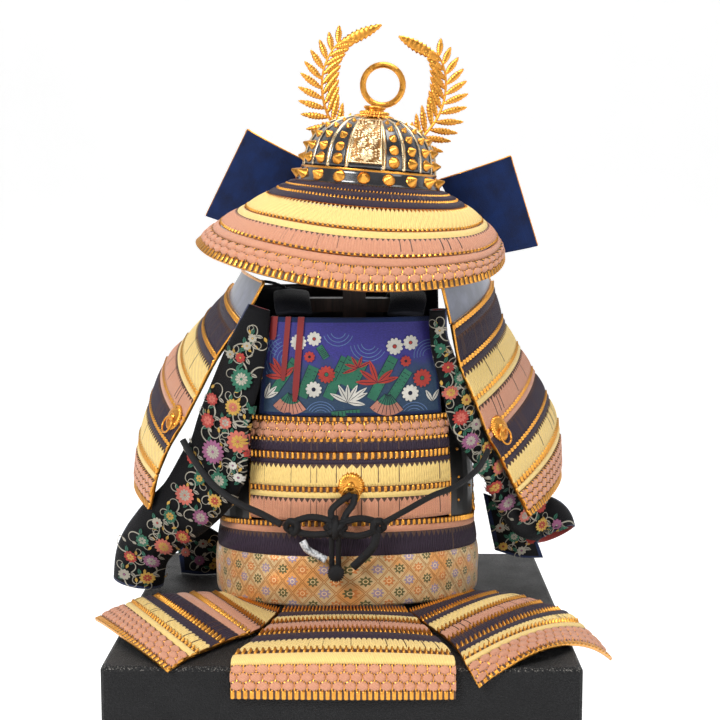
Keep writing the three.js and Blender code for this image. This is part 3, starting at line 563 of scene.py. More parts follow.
# The body of the armour: bands round one soft-cornered oval

TORSO = {"x": 1, "y": 52, "turn": math.radians(4), "power": 2.3}


def torso_point(angle, a, b, z):
    """A point of the body's oval in metres; angle 0 is the middle of the back, in degrees."""
    r = np.radians(angle)
    power = 2 / TORSO["power"]
    x = a * np.sign(np.sin(r)) * np.abs(np.sin(r)) ** power
    y = -b * np.sign(np.cos(r)) * np.abs(np.cos(r)) ** power
    c, s = math.cos(TORSO["turn"]), math.sin(TORSO["turn"])
    return np.stack([TORSO["x"] + x * c - y * s, TORSO["y"] + x * s + y * c, z], -1) * MM


def torso_surface(rows, start, end):
    """A band of the body. rows: half width, half depth, z at the back, z at the front."""
    table = np.array([row if len(row) == 4 else (*row, row[2]) for row in rows], float)

    def surface(u, v):
        u, v = both(u, v)
        place = np.clip(v, 0, 1) * (len(table) - 1)
        k = np.minimum(place.astype(int), len(table) - 2)
        share = (place - k)[..., None]
        a, b, z_back, z_front = np.moveaxis(table[k] * (1 - share) + table[k + 1] * share, -1, 0)
        angle = start + (end - start) * u
        turned = (1 - np.cos(np.radians(angle))) / 2
        return torso_point(angle, a, b, z_back + (z_front - z_back) * turned)

    return surface


BACK_LAMES = {
    "back_lame_knots": (
        [(121, 79.5, 533.2), (122.5, 81, 501)],
        zones_from(0, "heads - 0.13, knots salmon 0.62 2, heads - 0.7, cords purple 1"),
    ),
    "back_lame_yellow": (
        [(122.5, 81, 500.6), (124, 82.5, 468.8)],
        zones_from(0, "heads - 0.21, braid purple 0.35, cords yellow 1"),
    ),
    "back_lame_salmon": (
        [(123.5, 82, 468.4), (124.6, 83.3, 437)],
        zones_from(0, "heads - 0.16, braid yellow 0.33, cords salmon 1"),
    ),
}
BACK_ANGLE = 46
BACK_HEADS = 37
WAIST_ROWS = [(122, 81.5, 436.6, 418), (124.8, 84.7, 407, 399), (122, 82, 386, 380)]
WAIST_ZONES = zones_from(0, "heads - 0.09, braid salmon 0.19, cords purple 0.7")
WAIST_HEADS = 132
FRONT_ROWS = [
    (113, 72, 470, 626),
    (117, 75, 455, 548),
    (120, 78, 448, 500),
    (121.5, 80, 440, 455),
    (123, 81.5, 437, 418.4),
]
FRONT_ANGLES = (82, 278)
FRONT_BOARD_ROWS = [(115.5, 74.5, 646, 646), (117, 76.5, 606, 606)]
FRONT_BOARD_ANGLES = (128, 232)
FRONT_HEADS = 62


def lame_run(colours, top, foot, heads=0.18, braid=0.18):
    """Zones for a row of like lames: heads, braid in the colour of the cords above, next cords."""
    zones = []
    step = (foot - top) / len(colours)
    for n, colour in enumerate(colours):
        start = top + n * step
        above = colours[max(n - 1, 0)]
        zones += [
            ("heads", "", start, start + heads * step),
            ("braid", above, start + heads * step, start + (heads + braid) * step),
            ("cords", colour, start + (heads + braid) * step, start + step),
        ]
    return zones


def build_front_top_board():
    """The curved board that stands above the front lames, black inside and out."""
    surface = torso_surface(FRONT_BOARD_ROWS, *FRONT_BOARD_ANGLES)
    grid_u, grid_v = np.meshgrid(np.linspace(0, 1, 60), np.linspace(0, 1, 12))
    lifts = (np.full(grid_u.shape, lift) for lift in (0.0, -1.6))
    outer, inner = (offset(surface, -1)(grid_u, grid_v, lift) for lift in lifts)
    shape = Shape().wall(outer, inner, plane(grid_u * 160, grid_v * 45))
    finish_piece(shape.make("front_top_board", [black()]))


def build_body_lacing():
    """The laced lames of the back, waist and front."""
    for name, (rows, zones) in BACK_LAMES.items():
        surface = torso_surface(rows, -BACK_ANGLE, BACK_ANGLE)
        piece = lacing(f"{name}_laced", surface, -1, zones, BACK_HEADS, stand=0.7)
        finish_piece(piece, [name])
    waist = torso_surface(WAIST_ROWS, -180, 180)
    size = {"detail": 6, "base": 0.2}
    piece = lacing("waist_lame_laced", waist, -1, WAIST_ZONES, WAIST_HEADS, **size)
    finish_piece(piece, ["waist_lame"])
    front = torso_surface(FRONT_ROWS, *FRONT_ANGLES)
    zones = lame_run(["purple", "yellow", "salmon", "purple", "yellow", "salmon"], 0, 1)
    piece = lacing("front_lames_laced", front, -1, zones, FRONT_HEADS, detail=4, thick=3)
    finish_piece(piece, ["front_lames"])
    build_front_top_board()


# Skirts that lie on the chest lid: v, left xyz, middle xyz, right xyz, in millimetres

SKIRTS = {
    "skirt_back": (
        -1,
        37,
        [
            (0.0, -54, -28, 354, 3, -31, 355, 54, -28, 354),
            (0.3, -64, -80, 354, 5, -86, 359, 69, -80, 354),
            (0.6, -80, -140, 354, 5, -143, 359, 86, -140, 354),
            (0.8, -90, -178, 355, 5, -180, 358, 93, -178, 355),
            (0.88, -91, -193.5, 350, 5, -195.5, 352, 94, -193.5, 350),
            (1.0, -91, -196.5, 326, 5, -198.5, 326, 94, -196.5, 326),
        ],
        zones_from(
            0,
            "cords purple 0.06, heads - 0.15, braid purple 0.215, cords yellow 0.295, "
            "heads - 0.355, cords salmon 0.44, heads - 0.52, braid purple 0.59, "
            "cords yellow 0.745, heads - 0.8, braid yellow 0.862, knots salmon 0.968 3, "
            "foot - 1",
        ),
    ),
    "skirt_left": (
        1,
        30,
        [
            (0.0, -60, -42, 354, -92, -20, 356, -108, 14, 354),
            (0.2, -74, -100, 354.5, -110, -48, 362, -131, 9, 355.5),
            (0.45, -92, -122, 354.5, -137, -62, 363, -165, 5, 355.5),
            (0.65, -112, -153, 354.5, -160, -84, 363, -192, -8, 355.5),
            (0.8, -126, -175, 354.5, -173, -105, 363, -204, -30, 355.5),
            (1.0, -142, -198, 350, -193, -130, 359, -228, -58, 351),
        ],
        zones_from(
            0,
            "heads - 0.04, cords yellow 0.15, heads - 0.2, cords salmon 0.31, heads - 0.36, "
            "braid salmon 0.43, cords purple 0.545, heads - 0.595, braid purple 0.64, "
            "cords yellow 0.735, heads - 0.77, braid yellow 0.805, knots salmon 0.965 3, "
            "foot - 1",
        ),
    ),
    "skirt_right": (
        -1,
        30,
        [
            (0.0, 60, -44, 354, 95, -14, 356, 122, 24, 354),
            (0.25, 77, -92, 354.5, 124, -46, 362, 160, 5, 355.5),
            (0.45, 91, -128, 354.5, 144, -73, 362, 183, -20, 355.5),
            (0.62, 99, -166, 355, 158, -104, 362, 205, -46, 353),
            (0.78, 103, -193.5, 353, 168, -128, 361, 220, -60, 342),
            (1.0, 113, -198, 336, 181, -160, 360, 244, -64, 316),
        ],
        zones_from(
            0,
            "heads - 0.035, cords purple 0.14, heads - 0.18, braid purple 0.22, "
            "cords yellow 0.33, heads - 0.37, cords salmon 0.45, heads - 0.49, "
            "cords purple 0.56, heads - 0.595, braid purple 0.63, cords yellow 0.7, "
            "heads - 0.735, braid yellow 0.775, knots salmon 0.965 3, foot - 1",
        ),
    ),
    "skirt_front": (
        1,
        30,
        [
            (0.0, -54, 134, 354, 0, 138, 355, 54, 134, 354),
            (0.5, -66, 165, 354.5, 0, 168, 357.5, 68, 165, 354.5),
            (0.7, -70, 184, 355.4, 0, 186, 357, 74, 184, 355.4),
            (0.8, -72, 195, 350, 0, 197, 352, 76, 195, 350),
            (1.0, -74, 196.5, 326, 0, 198.5, 326, 78, 196.5, 326),
        ],
        zones_from(
            0,
            "cords purple 0.14, heads - 0.2, braid purple 0.26, cords yellow 0.52, "
            "heads - 0.59, braid yellow 0.66, knots salmon 0.955 3, foot - 1",
        ),
    ),
}


def slim_heads(zones, share=0.65):
    """The same zones with narrower rows of heads. What lies below each starts higher."""
    slim, top = [], None
    for kind, colour, start, end, *rest in zones:
        start = start if top is None else top
        top = start + (end - start) * share if kind == "heads" else None
        slim.append((kind, colour, start, end if top is None else top, *rest))
    return slim


def build_skirts():
    """The four laced skirts, their lames standing like roof tiles."""
    for name, (side, heads, table, zones) in SKIRTS.items():
        detail = 4 if name == "skirt_front" else 8
        surface, zones = panel_surface(table), slim_heads(zones)
        size = {"detail": detail, "base": 0.3, "stand": 1.4, "thick": 2.2}
        piece = lacing(f"{name}_laced", surface, side, zones, heads, **size)
        finish_piece(piece, [name])


# Shoulder guards: v, back edge xyz, front edge xyz, in millimetres

GUARDS = {
    "left": {
        "side": 1,
        "bow": -10,
        "cap": (-76, 0, 655, -106, 138, 660),
        "rows": [
            (0.0, -95, 0, 619, -114, 138, 644),
            (0.17, -120, 0, 584, -139, 138, 617),
            (0.33, -138, 0, 550, -163, 138, 591),
            (0.5, -151, 0, 525, -185, 138, 566),
            (0.67, -166, 0, 500, -198, 138, 533),
            (0.83, -177, 0, 474, -209, 138, 493),
            (1.0, -185, 0, 440, -213, 138, 448),
        ],
    },
    "right": {
        "side": -1,
        "bow": 10,
        "cap": (91, 0, 651, 140, 138, 662),
        "rows": [
            (0.0, 99, 0, 616, 146, 138, 648),
            (0.17, 107, 0, 577, 157, 138, 611),
            (0.33, 121, 0, 545, 173, 138, 583),
            (0.5, 133, 0, 513, 189, 138, 557),
            (0.67, 148, 0, 486, 204, 138, 531),
            (0.83, 160, 0, 461, 216, 138, 500),
            (1.0, 174, 0, 434, 219, 138, 451),
        ],
    },
}
GUARD_HEADS = 28
GUARD_ZONES = zones_from(
    0,
    "heads - 0.022, braid purple 0.055, cords purple 0.155, heads - 0.175, "
    "braid purple 0.205, cords yellow 0.315, heads - 0.335, braid yellow 0.365, "
    "cords salmon 0.48, heads - 0.5, braid salmon 0.53, cords purple 0.645, "
    "heads - 0.665, braid purple 0.695, cords yellow 0.8, heads - 0.83",
)
GUARD_LAST_ZONES = zones_from(0.8325, "braid yellow 0.86, knots salmon 0.97 3, foot - 1")


def with_middle(row, bow):
    """The row with its middle pushed out by the bow."""
    v, x0, y0, z0, x1, y1, z1 = row
    middle = ((x0 + x1) / 2 + bow, (y0 + y1) / 2, (z0 + z1) / 2 + abs(bow) * 0.3)
    return (v, x0, y0, z0, *middle, x1, y1, z1)


def guard_surface(hand):
    """The outer face of a shoulder guard's lames."""
    guard = GUARDS[hand]
    return panel_surface([with_middle(row, guard["bow"]) for row in guard["rows"]])


def build_guards():
    """The laced lames of both shoulder guards and the knotted last one."""
    parts = (
        ("lames", GUARD_ZONES, 0.8, "lacing_mixed", "laced"),
        ("foot", GUARD_LAST_ZONES, 1.0, "lacing_salmon", "last_lame"),
    )
    for hand, guard in GUARDS.items():
        surface, side = guard_surface(hand), guard["side"]
        for part, zones, base, slot, packed in parts:
            name = f"guard_{hand}_{part}"
            piece = lacing(name, surface, side, zones, GUARD_HEADS, base=base, stand=0.9)
            finish_piece(piece, [f"guard_{hand}_{packed}"])


# Helmet. Its points are worked out in the helmet's own frame, in millimetres.


def helmet_points(points):
    """Points of the helmet's own frame, in millimetres, as places in the scene in metres."""
    matrix = np.array(HELMET)
    return np.asarray(points, float) * MM @ matrix[:3, :3].T + matrix[:3, 3]


# angle from the back, reach, z, fullness of the foot of the neck guard
NECK_EDGE = [
    (-112, 150, -56, -0.05),
    (-85, 158, -65, -0.05),
    (-55, 153, -77, 0),
    (0, 137, -90, 0),
    (55, 138, -76, 0.05),
    (85, 135, -58, 0.09),
    (112, 128, -42, 0.09),
]
NECK_ANGLE = 112
# v, share of the way out, share of the way down
NECK_PROFILE = [(0, 0, 0), (0.22, 0.28, 0.19), (0.48, 0.55, 0.43), (0.72, 0.8, 0.68), (1, 1, 1)]
NECK_START = (69.6, 74.1)
NECK_HEADS = 92
NECK_LAMES = {
    "neck_guard_purple": (
        "lacing_purple",
        zones_from(
            0,
            "cords purple 0.066, heads - 0.085, cords purple 0.145, heads - 0.165, "
            "braid purple 0.235",
        ),
    ),
    "neck_guard_yellow": (
        "lacing_yellow",
        zones_from(0.24, "cords yellow 0.455, heads - 0.48"),
    ),
    "neck_guard_salmon": (
        "lacing_salmon",
        zones_from(0.485, "braid yellow 0.55, cords salmon 0.695, heads - 0.72"),
    ),
    "neck_guard_knots": (
        "lacing_salmon",
        zones_from(0.725, "braid salmon 0.795, knots salmon 0.935 2, foot - 1"),
    ),
}


def neck_surface(u, v):
    """The outer face of the neck guard, spread out below the brow band."""
    u, v = both(u, v)
    angle = NECK_ANGLE * (2 * u - 1)
    reach, drop, full = np.moveaxis(smooth_rows(NECK_EDGE, angle), -1, 0)
    share, down = np.moveaxis(smooth_rows(NECK_PROFILE, v), -1, 0)
    out = share + full * 4 * v * (1 - v)
    r = np.radians(angle)
    x = (NECK_START[0] + (reach - NECK_START[0]) * out) * np.sin(r)
    y = -(NECK_START[1] + (reach - NECK_START[1]) * out) * np.cos(r)
    return helmet_points(np.stack([x, y, -0.4 + (drop + 0.4) * down], -1))


def build_neck_guard():
    """The laced neck guard in its four groups of lames."""
    for name, (slot, zones) in NECK_LAMES.items():
        slim = slim_heads(zones, 0.75)
        piece = lacing(f"{name}_laced", neck_surface, -1, slim, NECK_HEADS, stand=0.2)
        finish_piece(piece, [name])


# More tools for shapes


def face_volume(points, blocks):
    """Six times the volume inside a set of faces; below 0 when they point inwards."""
    total = 0.0
    for block in blocks:
        for k in range(1, block.shape[1] - 1):
            a, b, c = points[block[:, 0]], points[block[:, k]], points[block[:, k + 1]]
            total += np.einsum("ij,ij->", a, np.cross(b, c))
    return total


class Shape:
    """Gathers the points and faces of one piece. Each part of it has a material number."""

    def __init__(self):
        self.points, self.faces, self.slots, self.cloth = [], [], [], []
        self.count = 0

    def add(self, points, blocks, slot=0, cloth=None, closed=True):
        """Adds a part, turned so that its faces point outwards; slot may be one number per face."""
        points = np.asarray(points, float).reshape(-1, 3)
        blocks = [np.asarray(block) for block in (blocks if isinstance(blocks, list) else [blocks])]
        middle = points.mean(0)
        if closed and face_volume(points - middle, blocks) < 0:
            blocks = [block[:, ::-1] for block in blocks]
        numbers = np.broadcast_to(slot, sum(map(len, blocks)))
        self.faces += [block + self.count for block in blocks]
        self.slots.append(numbers)
        self.points.append(points)
        cloth = points[:, [0, 2]] / MM if cloth is None else np.asarray(cloth).reshape(-1, 2)
        self.cloth.append(cloth)
        self.count += len(points)
        return self

    def wall(self, outer, inner, cloth=None, slots=(0, 0, 0), closed=False):
        """Adds a wall between two grids of points. slots: outer faces, inner faces, rims."""
        blocks = wall_faces(*outer.shape[:2], closed)
        counts = (len(blocks[0]), len(blocks[1]), sum(map(len, blocks[2:])))
        numbers = [np.broadcast_to(np.ravel(slot), n) for slot, n in zip(slots, counts)]
        points = np.concatenate([outer.reshape(-1, 3), inner.reshape(-1, 3)])
        cloth = None if cloth is None else np.concatenate([cloth, cloth])
        return self.add(points, blocks, np.concatenate(numbers), cloth)

    def make(self, name, materials):
        """The object of all the parts so far."""
        points, slots, cloth = map(np.concatenate, (self.points, self.slots, self.cloth))
        return make_object(name, points, self.faces, materials, slots, cloth)


def wall_faces(rows, columns, closed=False):
    """Faces of a wall between two grids of one size: outer first, then inner, with its rims."""
    n = rows * columns
    outer = grid_faces(rows, columns, 0, False, closed)
    inner = grid_faces(rows, columns, n, True, closed)
    blocks = [outer, inner]
    number = np.arange(n).reshape(rows, columns)
    if closed:
        number = np.hstack([number, number[:, :1]])
    edges = [(number[0], False), (number[-1], True)]
    if not closed:
        edges += [(number[:, 0], True), (number[:, -1], False)]
    for line, flip in edges:
        quads = np.stack([line[:-1], line[:-1] + n, line[1:] + n, line[1:]], -1)
        blocks.append(quads[:, ::-1] if flip else quads)
    return blocks


def tube_faces(sides, count, flip=False):
    """Faces round count rings of points, and the two fans that close them on two more points."""
    first = np.arange(sides)
    last = first + (count - 1) * sides
    caps = [
        np.stack([np.roll(first, -1), first, np.full(sides, count * sides)], -1),
        np.stack([last, np.roll(last, -1), np.full(sides, count * sides + 1)], -1),
    ]
    if flip:
        caps = [cap[:, ::-1] for cap in caps]
    return [grid_faces(count, sides, 0, flip, True), *caps]


def smooth_line(points, count):
    """count points along a smooth line through the given ones, evenly spread."""
    points = np.asarray(points, float)
    run = run_along(points)
    table = np.column_stack([run, points])
    fine = smooth_rows(table, np.linspace(0, run[-1], 8 * count))
    steps = run_along(fine)
    even = np.linspace(0, steps[-1], count)
    return np.stack([np.interp(even, steps, fine[:, k]) for k in range(3)], -1)


def frames_along(line):
    """Unit vectors along a line and two across it that turn as little as they can."""
    along = unit(np.gradient(line, axis=0))
    first = np.cross(along[0], (0, 0, 1) if abs(along[0][2]) < 0.9 else (0, 1, 0))
    across = [unit(first)]
    for d in along[1:]:
        across.append(unit(across[-1] - d * np.dot(across[-1], d)))
    across = np.array(across)
    return along, across, np.cross(along, across)


def tube(points, radius, sides, count, relief=None):
    """Points, faces and woven coordinates of a tube along a smooth line, in millimetres."""
    line = smooth_line(points, count)
    _, across, other = frames_along(line)
    run = run_along(line)
    angle = np.arange(sides) / sides * TAU
    size = np.broadcast_to(radius, (count,))[:, None] * np.ones(sides)
    if relief:
        size = size + relief(run[:, None], angle[None, :])
    cos, sin = np.cos(angle)[None, :, None], np.sin(angle)[None, :, None]
    ring = line[:, None] + size[..., None] * (cos * across[:, None] + sin * other[:, None])
    cloth = np.concatenate([plane(angle * np.mean(radius), run[:, None]), [[0, 0], [0, run[-1]]]])
    points = np.concatenate([ring.reshape(-1, 3), line[[0, -1]]]) * MM
    return points, tube_faces(sides, count, True), cloth


def braid_twist(pitch, size):
    """Relief of a round braid: strands crossing both ways."""

    def relief(run, angle):
        one = np.abs(np.sin(2 * angle + run * TAU / pitch))
        two = np.abs(np.sin(2 * angle - run * TAU / pitch))
        return size * np.maximum(one, two) - size

    return relief


def spun(centre, axis, profile, sides):
    """A turned body: profile rows hold radius, height and, if wanted, lobes and their depth."""
    centre, axis = np.asarray(centre, float), unit(np.asarray(axis, float))
    side = unit(np.cross(axis, (0, 0, 1) if abs(axis[2]) < 0.9 else (1, 0, 0)))
    other = np.cross(axis, side)
    angle = np.arange(sides) / sides * TAU
    rows = []
    for radius, height, *lobes in profile:
        size = np.full(sides, float(radius))
        if lobes:
            size -= lobes[1] * (1 - np.abs(np.cos(angle * lobes[0] / 2))) ** 1.5
        ring = size[:, None] * (np.cos(angle)[:, None] * side + np.sin(angle)[:, None] * other)
        rows.append(centre + ring + axis * height)
    ends = [centre + axis * row[1] for row in (profile[0], profile[-1])]
    return np.concatenate([*rows, ends]), tube_faces(sides, len(rows))


# Darker yarn of the navy cloths.
NAVY_SHADE = (0.004, 0.008, 0.03)


def gold():
    """The gilt metal of the fittings."""
    look = bpy.context.scene.armour_metal
    return shared("gold", lambda: gilt("gilt_metal", tuple(look.gilt), look.polish))


def navy_woven():
    """The navy cloth of the bindings."""
    look = bpy.context.scene.armour_cloth
    return shared("navy_woven", lambda: woven("navy_woven", tuple(look.navy), NAVY_SHADE))


def black():
    """The black lacquer of the helmet."""
    return shared("black", lambda: lacquer("black_lacquer", (0.012, 0.012, 0.014), 0.16, 0.8))


HELMET_BAND = {"foot": (69.5, 74), "top": (63.5, 68), "height": 15}
BOWL = {"half": (62.5, 67), "rise": 48.5, "hole": 8}
BACK_PLATE_HALF = 15.6
PLATES = 18
RIB_COLUMNS = 480
# height above the foot of the bowl, radius and length of its rivets
BOWL_RIVETS = [(7.6, 5.6, 6.2), (19, 4.9, 5.6), (29.5, 4.0, 4.8), (38, 3.1, 3.8), (43.8, 2.2, 2.8)]
# how many rivets go round the brow band, and their radius and length
BAND_RIVETS = (18, 6.0, 7.4)


def bowl_surface(u, v):
    """u runs once round from the front; v runs from the hole at the top to the foot."""
    u, v = both(u, v)
    r = TAU * (u - 0.5)
    a, b = BOWL["half"]
    open_share = BOWL["hole"] / a
    reach = open_share + (1 - open_share) * np.sin(v * math.pi / 2) ** 0.8
    z = HELMET_BAND["height"] + 0.35 + BOWL["rise"] * np.maximum(np.cos(v * math.pi / 2), 0) ** 0.95
    return helmet_points(np.stack([a * reach * np.sin(r), -b * reach * np.cos(r), z], -1))


def band_surface(u, v):
    """u runs once round the brow band and v runs down it."""
    u, v = both(u, v)
    r = TAU * (u - 0.5)
    a, b = (top + (foot - top) * v for top, foot in zip(HELMET_BAND["top"], HELMET_BAND["foot"]))
    z = HELMET_BAND["height"] * (1 - v)
    return helmet_points(np.stack([a * np.sin(r), -b * np.cos(r), z], -1))


def rib_angles():
    """Angles from the back, in degrees, of the standing ribs between the plates of the bowl."""
    width = (360 - 2 * BACK_PLATE_HALF) / PLATES
    return np.array([BACK_PLATE_HALF + k * width for k in range(PLATES + 1)])


def round_shell(surface, side, columns, rows, lift, fill, thick, inner_columns=36):
    """A closed shell round the helmet: a fine outer face and a plain inner one."""
    u = np.arange(columns) / columns
    grid_u, grid_v = np.meshgrid(u, rows)
    outer = offset(surface, side)(grid_u, grid_v, lift(grid_u, grid_v))
    inner_rows = np.linspace(rows[0], rows[-1], 8)
    in_u, in_v = np.meshgrid(np.arange(inner_columns) / inner_columns, inner_rows)
    inner = offset(surface, side)(in_u, in_v, np.full(in_u.shape, -thick))
    n = outer.shape[0] * columns
    number = np.arange(n).reshape(-1, columns)
    behind = n + np.arange(len(inner_rows) * inner_columns).reshape(-1, inner_columns)
    loop = [np.append(line, line[0]) for line in (number[0], behind[0], number[-1], behind[-1])]
    faces = [
        grid_faces(len(rows), columns, 0, False, True),
        grid_faces(len(inner_rows), inner_columns, n, True, True),
        zip_edges(loop[0], loop[1], True),
        zip_edges(loop[2], loop[3], False),
    ]
    front = fill(grid_u, grid_v)[:-1].ravel()
    slots = np.concatenate([front, np.zeros(sum(map(len, faces[1:])), int)])
    return np.concatenate([outer.reshape(-1, 3), inner.reshape(-1, 3)]), faces, slots


def add_rivets(shape, surface, side, spots, slot=1, sides=12):
    """Conical rivets: spots hold u, v, radius and length."""
    for u, v, radius, length in spots:
        foot = surface(u, v) / MM
        facing = normals(surface, u, v, side)
        rings = ((1, -0.6), (1, 0.4), (0.82, 0.9), (0.16, length))
        profile = [(radius * share, height) for share, height in rings] + [(0.05, length + 0.2)]
        points, faces = spun(foot, facing, profile, sides)
        shape.add(points * MM, faces, slot)


def build_helmet_bowl():
    """Riveted black bowl with gilt ribs, its brow band, the relief plate and the finial."""
    ribs = np.concatenate([rib_angles(), [-BACK_PLATE_HALF]])

    def rib_distance(u):
        angle = np.degrees(TAU * (u - 0.5)) % 360
        far = np.abs(angle[..., None] - ribs[:-1] % 360)
        return np.minimum(far, 360 - far).min(-1)

    def lift(u, _v):
        return 1.5 * np.sqrt(np.clip(1 - (rib_distance(u) / 1.7) ** 2, 0, 1))

    def fill(u, v):
        return np.where(v > 0.972, 1, np.where(rib_distance(u + 0.5 / RIB_COLUMNS) < 1.5, 2, 0))

    metals = [black(), gold(), gilt("silver_gilt", (0.82, 0.62, 0.36), 0.24, (0.4, 0.22, 0.09))]
    shape = Shape()
    rows = np.linspace(0, 1, 26)
    shape.add(*round_shell(bowl_surface, -1, RIB_COLUMNS, rows, lift, fill, 2))
    spots = []
    for k in range(PLATES):
        angle = BACK_PLATE_HALF + (k + 0.5) * (360 - 2 * BACK_PLATE_HALF) / PLATES
        for height, radius, length in BOWL_RIVETS:
            v = 2 / math.pi * math.acos((height / BOWL["rise"]) ** (1 / 0.95))
            spots.append(((angle / 360 + 0.5) % 1, v, radius, length))
    add_rivets(shape, bowl_surface, -1, spots)
    finish_piece(shape.make("helmet_bowl_riveted", metals), ["helmet_bowl"])

    build_brow_band(metals)
    build_back_plate_relief(metals)
    build_finial()


def build_brow_band(metals):
    """The black brow band with its gilt upper edge and its rivets."""

    def lift(_u, v):
        return np.where(v < 0.1, 0.9, 0.0)

    def fill(_u, v):
        return np.where(v < 0.09, 1, 0)

    rows = np.array([0, 0.03, 0.07, 0.11, 0.3, 0.5, 0.75, 1.0])
    shape = Shape().add(*round_shell(band_surface, -1, 144, rows, lift, fill, 2.2))
    count, radius, length = BAND_RIVETS
    spots = [((k / count + 0.5) % 1, 0.52, radius, length) for k in range(count)]
    add_rivets(shape, band_surface, -1, spots, sides=16)
    finish_piece(shape.make("helmet_band_riveted", metals), ["helmet_band"])


# across, up, size and petals of the raised flowers on the relief plate
RELIEF_FLOWERS = [
    (0, 0.16, 6.5, 8),
    (-5, 0.36, 4.6, 7),
    (5, 0.44, 4.8, 7),
    (-2, 0.62, 4.4, 6),
    (3.5, 0.78, 3.6, 6),
    (-1, 0.92, 3.2, 6),
]


def build_back_plate_relief(metals):
    """Silver-gilt plate up the back of the bowl, worked with flowers and leaf scrolls."""
    across, up = np.meshgrid(np.linspace(-1, 1, 41), np.linspace(0, 1, 81))
    t = 0.96 - up * 0.66
    reach = 0.13 + 0.87 * np.sin(t * math.pi / 2) ** 0.8
    height = HELMET_BAND["height"] + 1 + BOWL["rise"] * np.cos(t * math.pi / 2) ** 0.95
    half = 9 + 7 * t
    x = half * across
    raised = 0.6 * np.sin(x * 1.3 + 4 * np.sin(up * 17)) * np.sin(up * 60 + x * 0.7)
    for fx, fu, size, petals in RELIEF_FLOWERS:
        dx, dz = x - fx, (up - fu) * 52
        far = np.hypot(dx, dz)
        turn = np.arctan2(dz, dx)
        petal = np.abs(np.cos(turn * petals / 2))
        bud = np.clip(1 - far / (size * (0.8 + 0.2 * petal)), 0, 1)
        raised = np.maximum(raised, 1.9 * np.sqrt(bud) * (0.4 + 0.6 * petal))
    border = (np.abs(across) > 0.9) | (up < 0.025) | (up > 0.985)
    raised = np.where(border, 1.5, raised)

    def at(extra):
        round_share = np.sqrt(1 - (x / (BOWL["half"][0] * reach)) ** 2)
        y = -(BOWL["half"][1] + extra) * reach * round_share - extra * 0.3
        return helmet_points(np.stack([x, y, height + extra * 0.4], -1))

    low = (raised[:-1, :-1] < 0.12).astype(int)
    shape = Shape().wall(at(2.0 + raised), at(np.full(x.shape, 0.5)), None, (low, 0, 0))
    hollows = gilt("relief_hollows", (0.26, 0.13, 0.045), 0.4)
    piece = shape.make("helmet_relief_plate", [metals[2], hollows])
    finish_piece(piece, ["helmet_back_plate"])


# radius, height, lobes and depth of each ring of the finial
FINIAL = [
    (12, -0.2),
    (19.5, -0.4, 26, 3.4),
    (19.0, 1.6, 26, 3.0),
    (14.5, 3.0, 26, 1.0),
    (13.4, 3.2, 30, 1.4),
    (14.6, 4.6, 30, 1.7),
    (13.2, 6.0, 30, 1.4),
    (9.2, 6.6),
    (8.6, 7.6),
    (10.2, 8.6),
    (10.6, 10.2),
    (9.8, 11.0),
    (7.4, 11.1),
    (7.0, 9.0),
]


def build_finial():
    """The beaded gilt finial round the hole at the top of the bowl."""
    axis = HELMET.to_3x3() @ Vector((0, 0, 1))
    top = helmet_points([0.5, 0, HELMET_BAND["height"] + BOWL["rise"] + 0.7]) / MM
    points, faces = spun(top, tuple(axis), FINIAL, 208)
    piece = Shape().add(points * MM, faces).make("helmet_finial_rings", [gold()])
    finish_piece(piece, ["helmet_finial"])


# Crest: fern fronds, x and z of their ribs in the helmet's frame

CREST_Y = 82
FRONDS = {
    "left": [
        *((-8.5, 22), (-26, 35), (-38, 50), (-48, 62), (-55, 76)),
        *((-59, 92), (-59, 110), (-55, 124), (-48, 136), (-38, 146)),
    ],
    "right": [
        *((8.5, 22), (25, 30), (38, 42), (49, 57), (58, 71)),
        *((63.5, 88), (64.5, 104), (62, 119), (55.5, 132), (46, 140.6)),
    ],
}
FROND_TIPS = {"left": (-8, 157.5), "right": (17, 148)}
# points along each rib, and the one where the comb-like tip starts
FROND_POINTS = 240
FROND_TIP_START = 215
LEAFLETS = {"pairs": 12, "longest": 29.0, "width": 7.6, "teeth": 9, "thick": 0.9}


def leaflet(shape, foot, run, length, width, teeth):
    """A leaf with toothed edges and a raised middle, from its foot along run, both x and z."""
    (x, z), (dx, dz), y = foot, run, CREST_Y + 0.7
    steps = 4 * teeth
    s = np.linspace(0, 1, steps + 1)
    tooth = 1 - 0.34 * ((s * teeth) % 1)
    half = width / 2 * np.sin(math.pi * np.clip(s * 0.94 + 0.03, 0, 1)) ** 0.75 * tooth
    shares = np.array([-1, -0.5, 0, 0.5, 1])
    rise = np.array([0, 0.5, 0.9, 0.5, 0])
    ribbed = 1 - 0.35 * ((s * teeth) % 1)[:, None]
    px = x + dx * length * s[:, None] - dz * half[:, None] * shares
    pz = z + dz * length * s[:, None] + dx * half[:, None] * shares
    thick = LEAFLETS["thick"]
    front = helmet_points(np.stack([px, y - thick * (0.5 + rise * ribbed), pz], -1))
    back = helmet_points(np.stack([px, y + thick * (0.5 + 0.2 * rise * ribbed), pz], -1))
    shape.wall(front, back)


